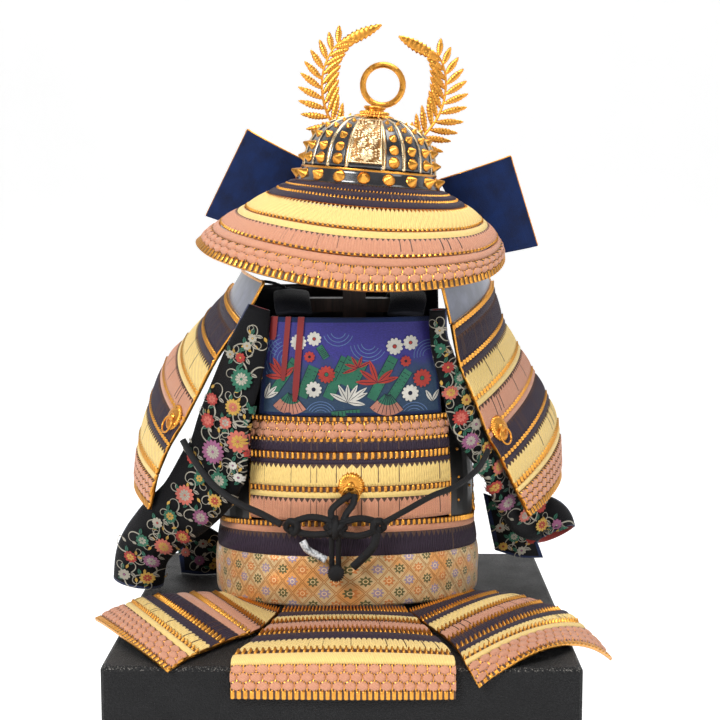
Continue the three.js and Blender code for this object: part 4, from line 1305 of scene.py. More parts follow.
def build_crest():
    """Fern fronds of the crest: a curved rib with toothed leaflets and a comb-like tip."""
    for hand, rib in FRONDS.items():
        outward = -1 if hand == "left" else 1
        line = smooth_line([(x, 0, z) for x, z in rib], FROND_POINTS)[:, [0, 2]]
        shape = Shape()
        along = unit(np.gradient(line, axis=0))
        spine = [(x, CREST_Y + 0.2, z) for x, z in line[::12]]
        points, faces, _ = tube(spine, np.linspace(1.9, 0.9, 60), 8, 60)
        shape.add(helmet_points(points / MM), faces)
        pairs = LEAFLETS["pairs"]
        for k in range(pairs):
            full = math.sin(math.pi * min(1, 0.3 + k / pairs * 0.8))
            size = LEAFLETS["longest"] * (0.62 + 0.38 * full)
            for edge, shift in ((1, 0.0), (-1, 0.45)):
                place = 0.2 + 0.79 * (k + shift) / pairs
                n = min(int(place * (FROND_POINTS - 1)), FROND_POINTS - 1)
                lean = math.radians(68 - 28 * place if edge > 0 else 50 - 10 * place)
                side = edge * outward
                (dx, dz), c, s = along[n], math.cos(lean), math.sin(lean)
                run = (dx * c + side * dz * s, dz * c - side * dx * s)
                leaflet(shape, line[n], run, size, LEAFLETS["width"], LEAFLETS["teeth"])
        foot = line[FROND_TIP_START]
        run = np.array(FROND_TIPS[hand]) - foot
        leaflet(shape, foot, unit(run), np.linalg.norm(run) + 4, 13, 10)
        finish_piece(shape.make(f"crest_fern_{hand}", [gold()]), [f"crest_frond_{hand}"])


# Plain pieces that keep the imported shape, with rims and rivets laid on them


def keep(name, material):
    """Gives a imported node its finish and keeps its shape."""
    piece = NODES[name]
    piece.data.materials.clear()
    piece.data.materials.append(material)


def plain_cloth(name, colour, shade):
    """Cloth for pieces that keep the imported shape: fine threads from the place of each point."""
    sockets = {"Roughness": 0.75, "Sheen Weight": 0.04, "Specular IOR Level": 0.15}
    material, tree, bsdf = new_material(name, sockets)
    place = position(tree, 1000)
    fine = noise(tree, place, 1.1, 3)
    spots = noise(tree, place, 0.05, 3)
    share = ramp(tree, calc(tree, "MULTIPLY_ADD", fine, 0.5, spots), 0.0, 1.0, 0.5, 1.0)
    tree.links.new(mix_colour(tree, share, colour, shade), bsdf.inputs["Base Color"])
    bump(tree, bsdf, fine, 0.0003)
    return material


# outer top, inner top, inner foot, outer foot of each wing, in the helmet's frame, and its bow
WINGS = {
    "left": ([(-131, 82, 46), (-67, 80, 18.5), (-100, 84, -58), (-169, 92, -44)], -5),
    "right": ([(135, 84, 41), (66, 82, 11.7), (112, 88, -62), (171, 94, -46)], 5),
}


def wing_surface(corners, bow):
    """The middle sheet of a wing; bow is how far its middle stands out, in millimetres."""
    a, b, c, d = (np.array(p, float) for p in corners)
    n = unit(np.cross(b - a, d - a))

    def surface(u, v):
        u, v = (np.asarray(w, float)[..., None] for w in both(u, v))
        top, foot = a + (b - a) * u, d + (c - d) * u
        return helmet_points(top + (foot - top) * v + n * (bow * 4 * u * (1 - u)))

    return surface


def gilt_rim(name, points, radius, count):
    """A thin round gilt rim along points given in metres."""
    points, faces, cloth = tube(np.asarray(points) / MM, radius, 8, count)
    finish_piece(Shape().add(points, faces, 0, cloth).make(name, [gold()]))


def build_wings():
    """Turned-back wings of the helmet in navy cloth, each with a thin gilt rim."""
    look = bpy.context.scene.armour_cloth
    navy = plain_cloth("navy_cloth", tuple(look.navy), NAVY_SHADE)
    for hand, (corners, bow) in WINGS.items():
        keep(f"helmet_wing_{hand}", navy)
        surface = wing_surface(corners, bow)
        u = np.concatenate([np.linspace(1, 0, 14), np.zeros(12)])
        v = np.concatenate([np.zeros(14), np.linspace(0.06, 1, 12)])
        gilt_rim(f"helmet_wing_{hand}_rim", surface(u, v), 0.8, 80)
    keep("helmet_peak", black())
    for name in ("crest_holder", "crest_ring"):
        keep(name, gold())


# side of the body, x at the back and x at the front of each strap
STRAPS = {"left": (-1, -47, -50), "right": (1, 56, 52)}
STRAP = {"width": 34, "thick": 5, "sides": 28, "rings": 44, "ring_step": 3.0}


def strap_line(side, back_x, front_x):
    """The middle of a strap from the back plate over the shoulder to the front lames."""
    points = [
        (back_x, -8, 627.3),
        (back_x + side * 3, 10, 639),
        ((back_x + front_x) / 2 + side * 4, 48, 643.5),
        (front_x + side * 2, 86, 631.6),
        (front_x, 106.5, 603.5),
    ]
    return smooth_line(points, STRAP["rings"])


def build_strap(hand, navy):
    """A padded shoulder strap, quilted across and a little hollow on its inner side."""
    line = strap_line(*STRAPS[hand])
    count, sides = STRAP["rings"], STRAP["sides"]
    along = np.gradient(line, axis=0)
    up = unit(np.stack([np.zeros(count), -along[:, 2], along[:, 1]], -1))
    angle = np.arange(sides) / sides * TAU
    k = np.sign(np.cos(angle)) * np.abs(np.cos(angle)) ** 0.5 / 2
    h = np.sign(np.sin(angle)) * np.abs(np.sin(angle)) ** 0.8 / 2
    quilt = 1 + 0.1 * np.abs(np.sin(np.arange(count) / 3 * math.pi / 2))[:, None]
    lift = h[None] * STRAP["thick"] * quilt - 3 * np.abs(k)[None]
    across = np.array([1.0, 0, 0]) * (k * STRAP["width"])[None, :, None]
    grid = line[:, None] + across + up[:, None] * lift[..., None]
    run = np.arange(count)[:, None] * STRAP["ring_step"]
    cloth = np.concatenate([plane(k * STRAP["width"], run), [[0, 0], [0, 0]]])
    points = np.concatenate([grid.reshape(-1, 3), line[[0, -1]]]) * MM
    shape = Shape().add(points, tube_faces(sides, count), 0, cloth)
    piece = shape.make(f"strap_{hand}_padded", [navy])
    finish_piece(piece, [f"shoulder_strap_{hand}"])


SIDE_ROWS = [(119, 77, 517, 505), (122.5, 81, 470, 470), (122.5, 81, 437, 418.4)]
SIDE_ANGLES = (47, 80)
SIDE_RIVETS = [(0.25, 0.2), (0.25, 0.5), (0.25, 0.8), (0.7, 0.3), (0.7, 0.65)]


def build_sides():
    """Padded shoulder straps, the black side plates with their rivets, and the guard caps."""
    # The navy straps are made near black: painted shade for the shadow that the neck guard casts on them.
    navy = woven("strap_navy_painted_shade", (0.005, 0.006, 0.01), (0.002, 0.002, 0.004), 0.7, 0.03)
    for hand in STRAPS:
        build_strap(hand, navy)
    metal = lacquer("side_lacquer", (0.006, 0.006, 0.006), 0.42, 0.1)
    for hand, (turn, *_) in STRAPS.items():
        keep(f"side_plate_{hand}", metal)
        surface = torso_surface(SIDE_ROWS, *(angle * turn for angle in SIDE_ANGLES))
        shape = Shape()
        add_rivets(shape, surface, -turn, [(u, v, 1.5, 1.3) for u, v in SIDE_RIVETS], 0)
        finish_piece(shape.make(f"side_{hand}_rivets", [gold()]))
        line = offset(surface, -turn)(np.zeros(24), np.linspace(0, 1, 24), np.ones(24))
        gilt_rim(f"side_{hand}_rim", line, 1.3, 50)
        build_guard_cap(hand)


def build_guard_cap(hand):
    """Smooth cap plate of a shoulder guard with a gilt rim round its edge."""
    guard = GUARDS[hand]
    look = bpy.context.scene.armour_cloth
    grey = shared("cap_grey", lambda: lacquer("cap_grey", tuple(look.cap), 0.3, 0.3))
    keep(f"guard_{hand}_cap", grey)
    top, cap = np.array(guard["rows"][0][1:]), np.array(guard["cap"])
    lifted = top + (cap - top) * 0.02
    table = [with_middle((0, *cap), guard["bow"] * 0.8), with_middle((1, *lifted), guard["bow"])]
    surface = panel_surface(table)
    u = np.concatenate([np.zeros(10), np.linspace(0, 1, 16)[1:], np.ones(9)])
    v = np.concatenate([np.linspace(1, 0, 10), np.zeros(15), np.linspace(0.1, 1, 9)])
    line = offset(surface, guard["side"])(u, v, np.full(len(u), -0.6))
    gilt_rim(f"guard_{hand}_cap_rim", line, 1.6, 90)
    laced = offset(guard_surface(hand), guard["side"])
    edge = laced(np.zeros(20), np.linspace(0.0, 0.16, 20), np.full(20, 1.2))
    gilt_rim(f"guard_{hand}_edge_rim", edge, 1.3, 40)


# Brocade sash round the waist

SASH_ROWS = [(127.2, 87.2, 404, 396), (128, 88, 380, 380), (127.2, 87.2, 356.3, 356.3)]
# width of a diamond in mm, width by height, and how many diamonds go round
SASH_LATTICE = {"pitch": 17.2, "lean": 0.785, "round": 41}
SASH_COLUMNS = 240


def lattice_brocade(name, ground, line, flowers):
    """Gold brocade: a double-line lattice with an eight-petalled flower in each diamond."""
    sockets = {"Roughness": 0.4, "Metallic": 0.4, "Sheen Weight": 0.15}
    material, tree, bsdf = new_material(name, sockets)
    x, y = cloth_uv(tree)
    pitch, lean = SASH_LATTICE["pitch"], SASH_LATTICE["lean"]
    inside, cells = [], []
    for sign in (1, -1):
        run = calc(tree, "DIVIDE", calc(tree, "MULTIPLY_ADD", y, sign * lean, x), pitch)
        cells.append(calc(tree, "FLOOR", run))
        inside.append(calc(tree, "SUBTRACT", calc(tree, "FRACT", run), 0.5))
    nearest = calc(tree, "MAXIMUM", *[calc(tree, "ABSOLUTE", part) for part in inside])
    from_line = calc(tree, "ABSOLUTE", calc(tree, "SUBTRACT", nearest, 0.455))
    lines = ramp(tree, from_line, 1.0, 0.0, 0.014, 0.026)
    wide = calc(tree, "MULTIPLY", calc(tree, "ADD", *inside), pitch / 2)
    high = calc(tree, "MULTIPLY", calc(tree, "SUBTRACT", *inside), pitch / 2 / lean)
    squares = calc(tree, "MULTIPLY_ADD", wide, wide, calc(tree, "MULTIPLY", high, high))
    reach = calc(tree, "SQRT", squares)
    turn = calc(tree, "ARCTAN2", high, wide)
    wave = calc(tree, "COSINE", calc(tree, "MULTIPLY", turn, 8.0))
    edge = calc(tree, "MULTIPLY_ADD", wave, 0.9, 3.9)
    petals = ramp(tree, calc(tree, "SUBTRACT", reach, edge), 1.0, 0.0, -0.15, 0.15)
    from_ring = calc(tree, "ABSOLUTE", calc(tree, "SUBTRACT", reach, 1.7))
    ring = ramp(tree, from_ring, 1.0, 0.0, 0.2, 0.4)
    kind = calc(tree, "FLOORED_MODULO", calc(tree, "ADD", *cells), 3.0)
    flower = mix_colour(tree, calc(tree, "GREATER_THAN", kind, 0.5), flowers[0], flowers[1])
    flower = mix_colour(tree, calc(tree, "GREATER_THAN", kind, 1.5), flower, flowers[2])
    threads = calc(tree, "ABSOLUTE", calc(tree, "SINE", calc(tree, "MULTIPLY", y, math.pi / 0.9)))
    fine = noise(tree, position(tree, 1000), 1.4, 2)
    shade = calc(tree, "MULTIPLY_ADD", fine, 0.5, calc(tree, "MULTIPLY", threads, 0.3))
    darker = tuple(c * 0.62 for c in ground)
    cloth = mix_colour(tree, ramp(tree, shade, 0.0, 1.0, 0.2, 0.9), darker, ground)
    patches = noise(tree, position(tree, 1000), 0.035, 3)
    cloth = mix_colour(tree, ramp(tree, patches, 0.0, 0.85, 0.46, 0.64), cloth, (0.72, 0.3, 0.07))
    cloth = mix_colour(tree, lines, cloth, line)
    cloth = mix_colour(tree, petals, cloth, flower)
    cloth = mix_colour(tree, ring, cloth, ground)
    tree.links.new(cloth, bsdf.inputs["Base Color"])
    relief = calc(tree, "MAXIMUM", lines, petals)
    bump(tree, bsdf, calc(tree, "MULTIPLY_ADD", threads, 0.25, relief), 0.0004)
    return material


def build_sash():
    """Gold brocade sash, one closed band of doubled cloth."""
    look = bpy.context.scene.armour_cloth
    flowers = ((0.13, 0.12, 0.04), (0.36, 0.27, 0.36), (0.62, 0.22, 0.06))
    cloth = lattice_brocade("sash_brocade", tuple(look.sash), (0.5, 0.19, 0.03), flowers)
    around = SASH_LATTICE["round"] * SASH_LATTICE["pitch"]
    surface = torso_surface(SASH_ROWS, 0, 360)
    u = np.arange(SASH_COLUMNS) / SASH_COLUMNS
    grid_u, grid_v = np.meshgrid(u, np.linspace(0, 1, 22))
    round_edge = -0.9 * (np.abs(2 * grid_v - 1) ** 8)
    turn = grid_u * TAU
    folds = 0.35 * np.sin(grid_v * 9 + 1.2 * np.sin(turn * 3)) * np.sin(turn * 5 + 1)
    outer = offset(surface, -1)(grid_u, grid_v, 0.7 + round_edge + folds)
    inner = offset(surface, -1)(grid_u, grid_v, np.full(grid_u.shape, -2.2))
    weave = plane((grid_u + 1 / 720) * around, (grid_v - 0.5) * 46.5)
    piece = Shape().wall(outer, inner, weave, closed=True).make("sash_band", [cloth])
    close_weave(piece, around)
    finish_piece(piece, ["sash"])


def close_weave(piece, around):
    """Lets the woven coordinate of a closed band run on over its seam."""
    seam = piece.data.uv_layers["cloth"].data
    loops = np.empty(len(seam) * 2, np.float32)
    seam.foreach_get("uv", loops)
    loops = loops.reshape(-1, 4, 2)
    wide = loops[..., 0].max(1) - loops[..., 0].min(1) > around / 2
    fixed = loops[wide]
    fixed[..., 0] += np.where(fixed[..., 0] < around / 2, around, 0)
    loops[wide] = fixed
    seam.foreach_set("uv", loops.ravel())


# Motifs laid on cloth: strips and petals given in x and z as seen from behind


class Cloth:
    """Finds places on a surface from x and z in millimetres, seen along the y axis."""

    def __init__(self, surface, side, samples=90):
        self.surface, self.side = surface, side
        shares = np.linspace(0, 1, samples)
        u, v = np.meshgrid(shares, shares)
        self.u, self.v = u.ravel(), v.ravel()
        self.seen = surface(self.u, self.v)[:, [0, 2]] / MM

    def place(self, x, z, lift):
        """Points over the cloth for x and z: the nearest sample, then a few steps closer."""
        goal = plane(np.asarray(x, float), np.asarray(z, float))
        best = np.empty(len(goal), int)
        for n in range(0, len(goal), 200):
            gap = ((goal[n : n + 200, None] - self.seen[None]) ** 2).sum(-1)
            best[n : n + 200] = gap.argmin(1)
        u, v = self.u[best].copy(), self.v[best].copy()
        e = 1e-3
        for _ in range(5):
            here = self.surface(u, v)[:, [0, 2]] / MM
            du = (self.surface(u + e, v)[:, [0, 2]] / MM - here) / e
            dv = (self.surface(u, v + e)[:, [0, 2]] / MM - here) / e
            det = du[:, 0] * dv[:, 1] - du[:, 1] * dv[:, 0]
            det = np.where(np.abs(det) < 1e-3, 1e-3, det)
            miss = goal - here
            step_u = (miss[:, 0] * dv[:, 1] - miss[:, 1] * dv[:, 0]) / det
            step_v = (du[:, 0] * miss[:, 1] - du[:, 1] * miss[:, 0]) / det
            u = np.clip(u + np.clip(step_u, -0.03, 0.03), 0, 1)
            v = np.clip(v + np.clip(step_v, -0.03, 0.03), 0, 1)
        return offset(self.surface, self.side)(u, v, np.full(len(u), float(lift)))


class FrontOf(Cloth):
    """Cloth whose places are looked for only on the half that faces the viewer."""

    def __init__(self, surface, side):
        super().__init__(surface, side, 110)
        good = normals(surface, self.u, self.v, side)[:, 1] < 0
        self.u, self.v, self.seen = self.u[good], self.v[good], self.seen[good]


class Motifs:
    """Patches of coloured weft over a cloth, one small strip after another."""

    def __init__(self, cloth, lift=0.25, step=0.02):
        self.cloth, self.lift, self.step, self.shape = cloth, lift, step, Shape()

    def strip(self, points, half, slot, columns=2):
        """A strip along points with a half width at each; slot is its colour."""
        points = np.asarray(points, float)
        half = np.broadcast_to(half, len(points))
        along = np.gradient(points, axis=0)
        along /= np.maximum(np.linalg.norm(along, axis=-1, keepdims=True), 1e-9)
        across = np.stack([-along[:, 1], along[:, 0]], -1)
        shares = np.linspace(-1, 1, columns + 1)
        grid = points[:, None] + across[:, None] * (half[:, None] * shares)[..., None]
        self.lift += self.step
        placed = self.cloth.place(grid[..., 0], grid[..., 1], self.lift)
        faces = grid_faces(len(points), columns + 1)
        self.shape.add(placed, faces, slot, grid.reshape(-1, 2), closed=False)

    def leaf(self, x, z, turn, length, width, slot, vein=None):
        """A pointed leaf from (x, z), turned in degrees from the x axis."""
        s = np.linspace(0, 1, 9)
        c, d = math.cos(math.radians(turn)), math.sin(math.radians(turn))
        points = np.stack([x + c * length * s, z + d * length * s], -1)
        self.strip(points, width / 2 * np.sin(math.pi * np.clip(s, 0.02, 0.98)) ** 0.8, slot)
        if vein is not None:
            self.strip(points[:-1], 0.28, vein, 1)

    def daisy(self, x, z, radius, petals, slots, turn, inner, share):
        """A flower of separate round-ended petals. slots: colours of the petals and the heart."""
        slot, heart = slots
        wide = share * math.pi * radius / petals
        s = np.linspace(inner, 1, 5)
        for k in range(petals):
            a = math.radians(turn) + TAU * k / petals
            points = np.stack([x + radius * s * math.cos(a), z + radius * s * math.sin(a)], -1)
            self.strip(points, wide * np.array([0.35, 0.7, 0.95, 1.0, 0.45]), slot)
        self.disc(x, z, radius * inner * 0.8, heart)

    def disc(self, x, z, radius, slot):
        """A round patch."""
        s = np.linspace(-1, 1, 7)
        points = np.stack([x + radius * s, np.full(7, z)], -1)
        self.strip(points, radius * np.sqrt(np.maximum(1 - s**2, 0.03)), slot)

    def scroll(self, x, z, turn, length, curl, width, slot):
        """A vine that curls tighter towards its end."""
        s = np.linspace(0, 1, 26)
        heading = np.radians(turn) + np.radians(curl) * s**1.6
        step = length / 25
        px = x + np.concatenate([[0], np.cumsum(np.cos(heading[:-1]) * step)])
        pz = z + np.concatenate([[0], np.cumsum(np.sin(heading[:-1]) * step)])
        self.strip(np.stack([px, pz], -1), width / 2 * (1 - 0.6 * s), slot)
        return px[-1], pz[-1]

    def make(self, name, materials, slot):
        """The piece that holds all the patches."""
        return finish_piece(self.shape.make(name, materials))


# Sleeves: hollow brocade tubes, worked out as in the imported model

# centre x, y, z, half width, half depth, turn about the run in degrees, slant of the cut
SLEEVES = {
    "left": [
        (-79, -10, 633, 11, 5, 12, 0),
        (-97, -12.5, 574, 26, 7.5, 36, 0),
        (-114, -11, 524, 34, 8, 44, 0),
        (-123, -10, 484, 38, 9, 34, 0),
        (-148, 4, 446, 31, 14, 12, 0),
        (-178, 26, 417, 28, 18, 0, 0),
        (-199, 44, 388, 26, 19, 0, 0),
        (-205, 50, 357.5, 25, 18, 0, 0),
    ],
    "right": [
        (86, -10, 631, 8, 4.4, -8, 0),
        (88, -5.8, 600, 9.2, 5.2, -20, 0),
        (100.1, 3.5, 562, 14.4, 7.2, -44, 0),
        (115, 4, 522, 22, 8, -50, 0),
        (137, 16, 484, 25, 8, -66, 0),
        (154, 36, 454, 26, 11, -60, 0),
        (181, 62, 423, 25, 14, -20, 0),
        (202, 72, 413, 22, 16, -4, 7),
        (209, 74, 399, 21, 16, 0, 9),
    ],
}
SLEEVE_WALL = 1.8
# v, left xyz, middle xyz, right xyz of the loose flaps
FLAPS = {
    "left": [
        (0, -168, 96, 408, -146, 90, 404, -124, 96, 390),
        (0.5, -172, 100, 380, -148, 94, 382, -126, 99, 372),
        (1, -170, 104, 350.5, -150, 98, 350.5, -130, 102, 350.5),
    ],
    "right": [
        (0, 136, 73.4, 440, 158, 75.4, 430, 182, 79.4, 410),
        (0.5, 144, 83.4, 404, 168, 81.4, 398, 192, 85.4, 388),
        (1, 150, 92, 378, 174, 88, 372, 199, 92, 370),
    ],
}


def sleeve_surface(hand, inset=0.0, crease=0.0):
    """u runs once round the sleeve and v from the shoulder to the cuff."""
    stations = SLEEVES[hand]
    table = [(n / (len(stations) - 1), *row) for n, row in enumerate(stations)]

    def surface(u, v):
        u, v = both(u, v)
        row = smooth_rows(table, np.clip(v, 0, 1))
        ahead = smooth_rows(table, np.clip(v + 0.01, 0, 1))[..., :3]
        behind = smooth_rows(table, np.clip(v - 0.01, 0, 1))[..., :3]
        along = unit(ahead - behind)
        across = unit(np.stack([along[..., 2], np.zeros(u.shape), -along[..., 0]], -1))
        turn = np.radians(row[..., 5])[..., None]
        across = across * np.cos(turn) + np.cross(along, across) * np.sin(turn)
        through = np.cross(along, across)
        angle = TAU * u
        wave = crease * np.sin(v * 31 + 2.0 * np.sin(angle)) * np.sin(angle + 4 * v)
        half, depth = row[..., 3] - inset + 0.4 * wave, row[..., 4] - inset + wave
        reach = np.sin(angle)
        point = row[..., :3] + across * (half * np.cos(angle))[..., None]
        point = point + through * (depth * reach)[..., None]
        return (point + along * (row[..., 6] * reach)[..., None]) * MM

    return surface


def cloth_colours():
    """Weft colours of the brocades, in the order used by the motifs."""
    look = bpy.context.scene.armour_cloth
    colours = {
        "cream": (0.4, 0.37, 0.3),
        "red": tuple(look.red),
        "green": tuple(look.green),
        "gold": (0.6, 0.36, 0.07),
        "pink": (0.3, 0.1, 0.2),
        "coral": (0.58, 0.15, 0.11),
        "white": (0.62, 0.6, 0.54),
        "salmon": (0.46, 0.2, 0.14),
        "wave": (0.1, 0.17, 0.34),
        "ink": (0.01, 0.012, 0.03),
        "violet": (0.1, 0.08, 0.5),
    }
    return shared("weft", lambda: [plain_weft(f"weft_{key}", colours[key]) for key in colours])


CREAM, RED, GREEN, GOLD, PINK, CORAL, WHITE, SALMON, WAVE, INK, VIOLET = range(11)


def plain_weft(name, colour):
    """Dull weft of one colour for the motifs."""
    return woven(name, colour, tuple(c * 0.55 for c in colour), 0.9, 0.15, 0.55, 0.0, 0.0002)


# x, z, radius, petals, colour, colour of the heart
SLEEVE_FLOWERS = {
    "left": [
        (-84, 604.7, 4, 8, CREAM, GOLD),
        (-88.8, 597.7, 4, 8, CREAM, GOLD),
        (-94.8, 586.6, 4.6, 8, RED, GOLD),
        (-104.3, 589, 4, 8, CREAM, GOLD),
        (-93.4, 567.5, 10, 14, GREEN, CREAM),
        (-100.8, 542, 7.4, 14, GOLD, CORAL),
        (-83.7, 540.2, 4.4, 9, GREEN, CREAM),
        (-121.4, 546.5, 5.8, 10, RED, CORAL),
        (-85.5, 525, 4.4, 9, GOLD, RED),
        (-107.7, 527.3, 5.8, 9, CORAL, CREAM),
        (-125.4, 526.8, 6.8, 10, RED, CORAL),
        (-96.2, 511.6, 10, 12, CORAL, GOLD),
        (-88.3, 501, 4.4, 9, RED, CREAM),
        (-119.7, 499.4, 11, 16, PINK, CREAM),
        (-100.8, 489.6, 3.8, 8, WHITE, PINK),
        (-96.8, 479, 4.2, 8, WHITE, PINK),
        (-133.4, 473.3, 5.6, 10, GREEN, GOLD),
        (-114, 474, 8.4, 13, GREEN, CREAM),
        (-141, 490, 5.2, 9, RED, GOLD),
        (-119, 455, 6.4, 11, GOLD, RED),
        (-148, 457, 9, 13, CORAL, CREAM),
        (-134, 438, 7.4, 12, PINK, CREAM),
        (-163, 436, 6.4, 11, GREEN, GOLD),
        (-153, 417, 6.8, 12, RED, GOLD),
        (-176, 428, 5, 9, CREAM, RED),
        (-173, 405, 8.4, 14, CORAL, GOLD),
        (-192, 409, 6, 10, GREEN, CREAM),
        (-187, 388, 7.4, 12, PINK, CREAM),
        (-206, 390, 6, 10, RED, GOLD),
        (-194, 368, 6.4, 11, GOLD, RED),
        (-213, 371, 5.4, 10, CREAM, PINK),
    ],
    "right": [
        (87, 612, 4, 8, CREAM, GOLD),
        (88, 595, 5, 10, GREEN, CREAM),
        (95, 577, 5.4, 9, RED, GOLD),
        (106, 566, 6, 12, GREEN, CREAM),
        (98, 553, 6.4, 11, CORAL, GOLD),
        (112, 545, 5, 9, GOLD, RED),
        (107, 530, 7, 12, RED, CORAL),
        (121, 522, 5.4, 10, CREAM, PINK),
        (116, 508, 7.4, 14, PINK, CREAM),
        (132, 499, 6, 10, GOLD, RED),
        (127, 484, 7, 13, GREEN, CREAM),
        (143, 480, 6.4, 11, CORAL, GOLD),
        (140, 463, 6, 10, RED, GOLD),
        (157, 462, 5.6, 10, CREAM, PINK),
        (153, 445, 7.4, 13, PINK, CREAM),
        (171, 446, 6, 11, GREEN, GOLD),
        (171, 428, 6.4, 11, CORAL, CREAM),
        (188, 432, 5.4, 10, RED, GOLD),
        (190, 415, 6.4, 12, GOLD, RED),
        (206, 414, 5, 9, PINK, CREAM),
        (207, 399, 5.4, 10, GREEN, CREAM),
    ],
}
FLAP_FLOWERS = {
    "left": [
        (-160, 393, 6, 11, RED, GOLD),
        (-146, 384, 5, 10, CREAM, RED),
        (-133, 378, 4.6, 9, GREEN, CREAM),
        (-164, 374, 5, 10, CORAL, CREAM),
        (-150, 366, 5.4, 11, PINK, CREAM),
        (-137, 360, 4, 8, GOLD, RED),
    ],
    "right": [
        (146, 428, 5, 10, GREEN, CREAM),
        (160, 420, 6, 12, RED, GOLD),
        (176, 410, 5.4, 11, GREEN, GOLD),
        (154, 404, 5, 10, CREAM, RED),
        (168, 395, 6, 12, GREEN, CREAM),
        (185, 392, 5, 10, RED, CORAL),
        (158, 384, 4.6, 9, GOLD, RED),
        (176, 380, 4.6, 9, CREAM, PINK),
    ],
}
# of the scrolls beside the flowers: length, curl and width, one after another
VINES = [(30, 230, 1.1), (26, -240, 1.0), (34, 200, 1.3), (24, 260, 0.9), (38, -190, 1.5)]
# where round each sleeve its navy binding runs, and half its width in mm
BINDING = {"left": (0.0, 6.0), "right": (0.5, 5.0)}


def embroider(motifs, flowers, scrolls):
    """Pale scrolls with leaves round each flower, then the flowers over them."""
    chance = np.random.default_rng(len(flowers))
    for n, (x, z, radius, *_) in enumerate(flowers):
        for k in range(scrolls):
            length, curl, thick = VINES[(n + k) % len(VINES)]
            turn = 360 * k / scrolls + 50 * chance.random()
            angle = math.radians(turn)
            start_x = x + radius * 0.9 * math.cos(angle)
            start_z = z + radius * 0.9 * math.sin(angle)
            end = motifs.scroll(start_x, start_z, turn + 20, length * 0.62, curl, thick, CREAM)
            motifs.leaf(end[0], end[1], turn + curl, 5, 2.6, CREAM if k % 2 else GOLD)
            motifs.leaf(start_x, start_z, turn - 60, 6.5, 3.2, GREEN if k % 3 else CREAM, INK)
    for x, z, radius, petals, colour, heart in flowers:
        motifs.disc(x, z, radius * 0.85, INK)
        motifs.daisy(x, z, radius, petals, (colour, heart), 10, 0.25, 0.74)
        if radius > 5.5:
            motifs.daisy(x, z, radius * 0.58, petals - 3, (heart, colour), 24, 0.3, 0.62)


def build_sleeves():
    """Hollow brocade sleeves with a red lining, navy binding and woven flowers, and their flaps."""
    look = bpy.context.scene.armour_cloth
    ground = woven("brocade_black", tuple(look.ground), (0.002, 0.002, 0.003), 0.7, 0.02)
    lining = woven("lining_red", (0.3, 0.03, 0.02), (0.12, 0.01, 0.01))
    cloths = [ground, navy_woven(), lining]
    for hand in SLEEVES:
        build_sleeve(hand, cloths)
        build_flap(hand, cloths)


def build_sleeve(hand, cloths):
    """One sleeve: a closed wall of cloth, bound down its seam and round its cuff."""
    surface = sleeve_surface(hand, 0.0, 0.5)
    inside = sleeve_surface(hand, SLEEVE_WALL, 0.5)
    grid_u, grid_v = np.meshgrid(np.arange(96) / 96, np.linspace(0, 1, 90))
    outer, inner = surface(grid_u, grid_v), inside(grid_u, grid_v)
    centre, width = BINDING[hand]
    far = np.abs((grid_u - centre + 0.5) % 1 - 0.5)
    sides = np.linalg.norm(np.diff(outer, axis=1, append=outer[:, :1]), axis=-1)
    girth = sides.sum(1, keepdims=True) / MM
    bound = (far[:-1] * girth[:-1] < width) | (grid_v[:-1] > 0.985)
    weave = plane(grid_u * girth, grid_v * 310)
    shape = Shape().wall(outer, inner, weave, (bound.astype(int), 2, 1), closed=True)
    piece = shape.make(f"sleeve_{hand}_cloth", cloths)
    finish_piece(piece, [f"sleeve_{hand}"])
    motifs = Motifs(FrontOf(surface, 1), 0.35, 0.006)
    embroider(motifs, SLEEVE_FLOWERS[hand], 3)
    motifs.make(f"sleeve_{hand}_flowers", cloth_colours(), "sleeve_brocade")


def build_flap(hand, cloths):
    """The loose flap below a sleeve, of the same cloth."""
    flap = panel_surface(FLAPS[hand])
    moved = offset(flap, -1)
    grid_u, grid_v = np.meshgrid(np.linspace(0, 1, 40), np.linspace(0, 1, 40))
    wave = 0.6 * np.sin(grid_u * 9 + grid_v * 3)
    front, back = moved(grid_u, grid_v, wave), moved(grid_u, grid_v, wave - SLEEVE_WALL)
    bound = ((grid_u < 0.1) | (grid_u > 0.9) | (grid_v > 0.93))[:-1, :-1]
    weave = plane(grid_u * 45, grid_v * 60)
    shape = Shape().wall(front, back, weave, (bound.astype(int), 2, 1))
    piece = shape.make(f"sleeve_{hand}_flap_cloth", cloths)
    finish_piece(piece, [f"sleeve_{hand}_flap"])
    motifs = Motifs(Cloth(flap, -1), 0.9, 0.006)
    embroider(motifs, FLAP_FLOWERS[hand], 2)
    motifs.make(f"sleeve_{hand}_flap_flowers", cloth_colours(), "sleeve_brocade")


# Back plate: printed and woven garden on a blue ground

BACK_ROWS = [(108, 68, 624), (114, 74, 578), (119, 78, 533.6)]
BACK_HALF_ANGLE = 43


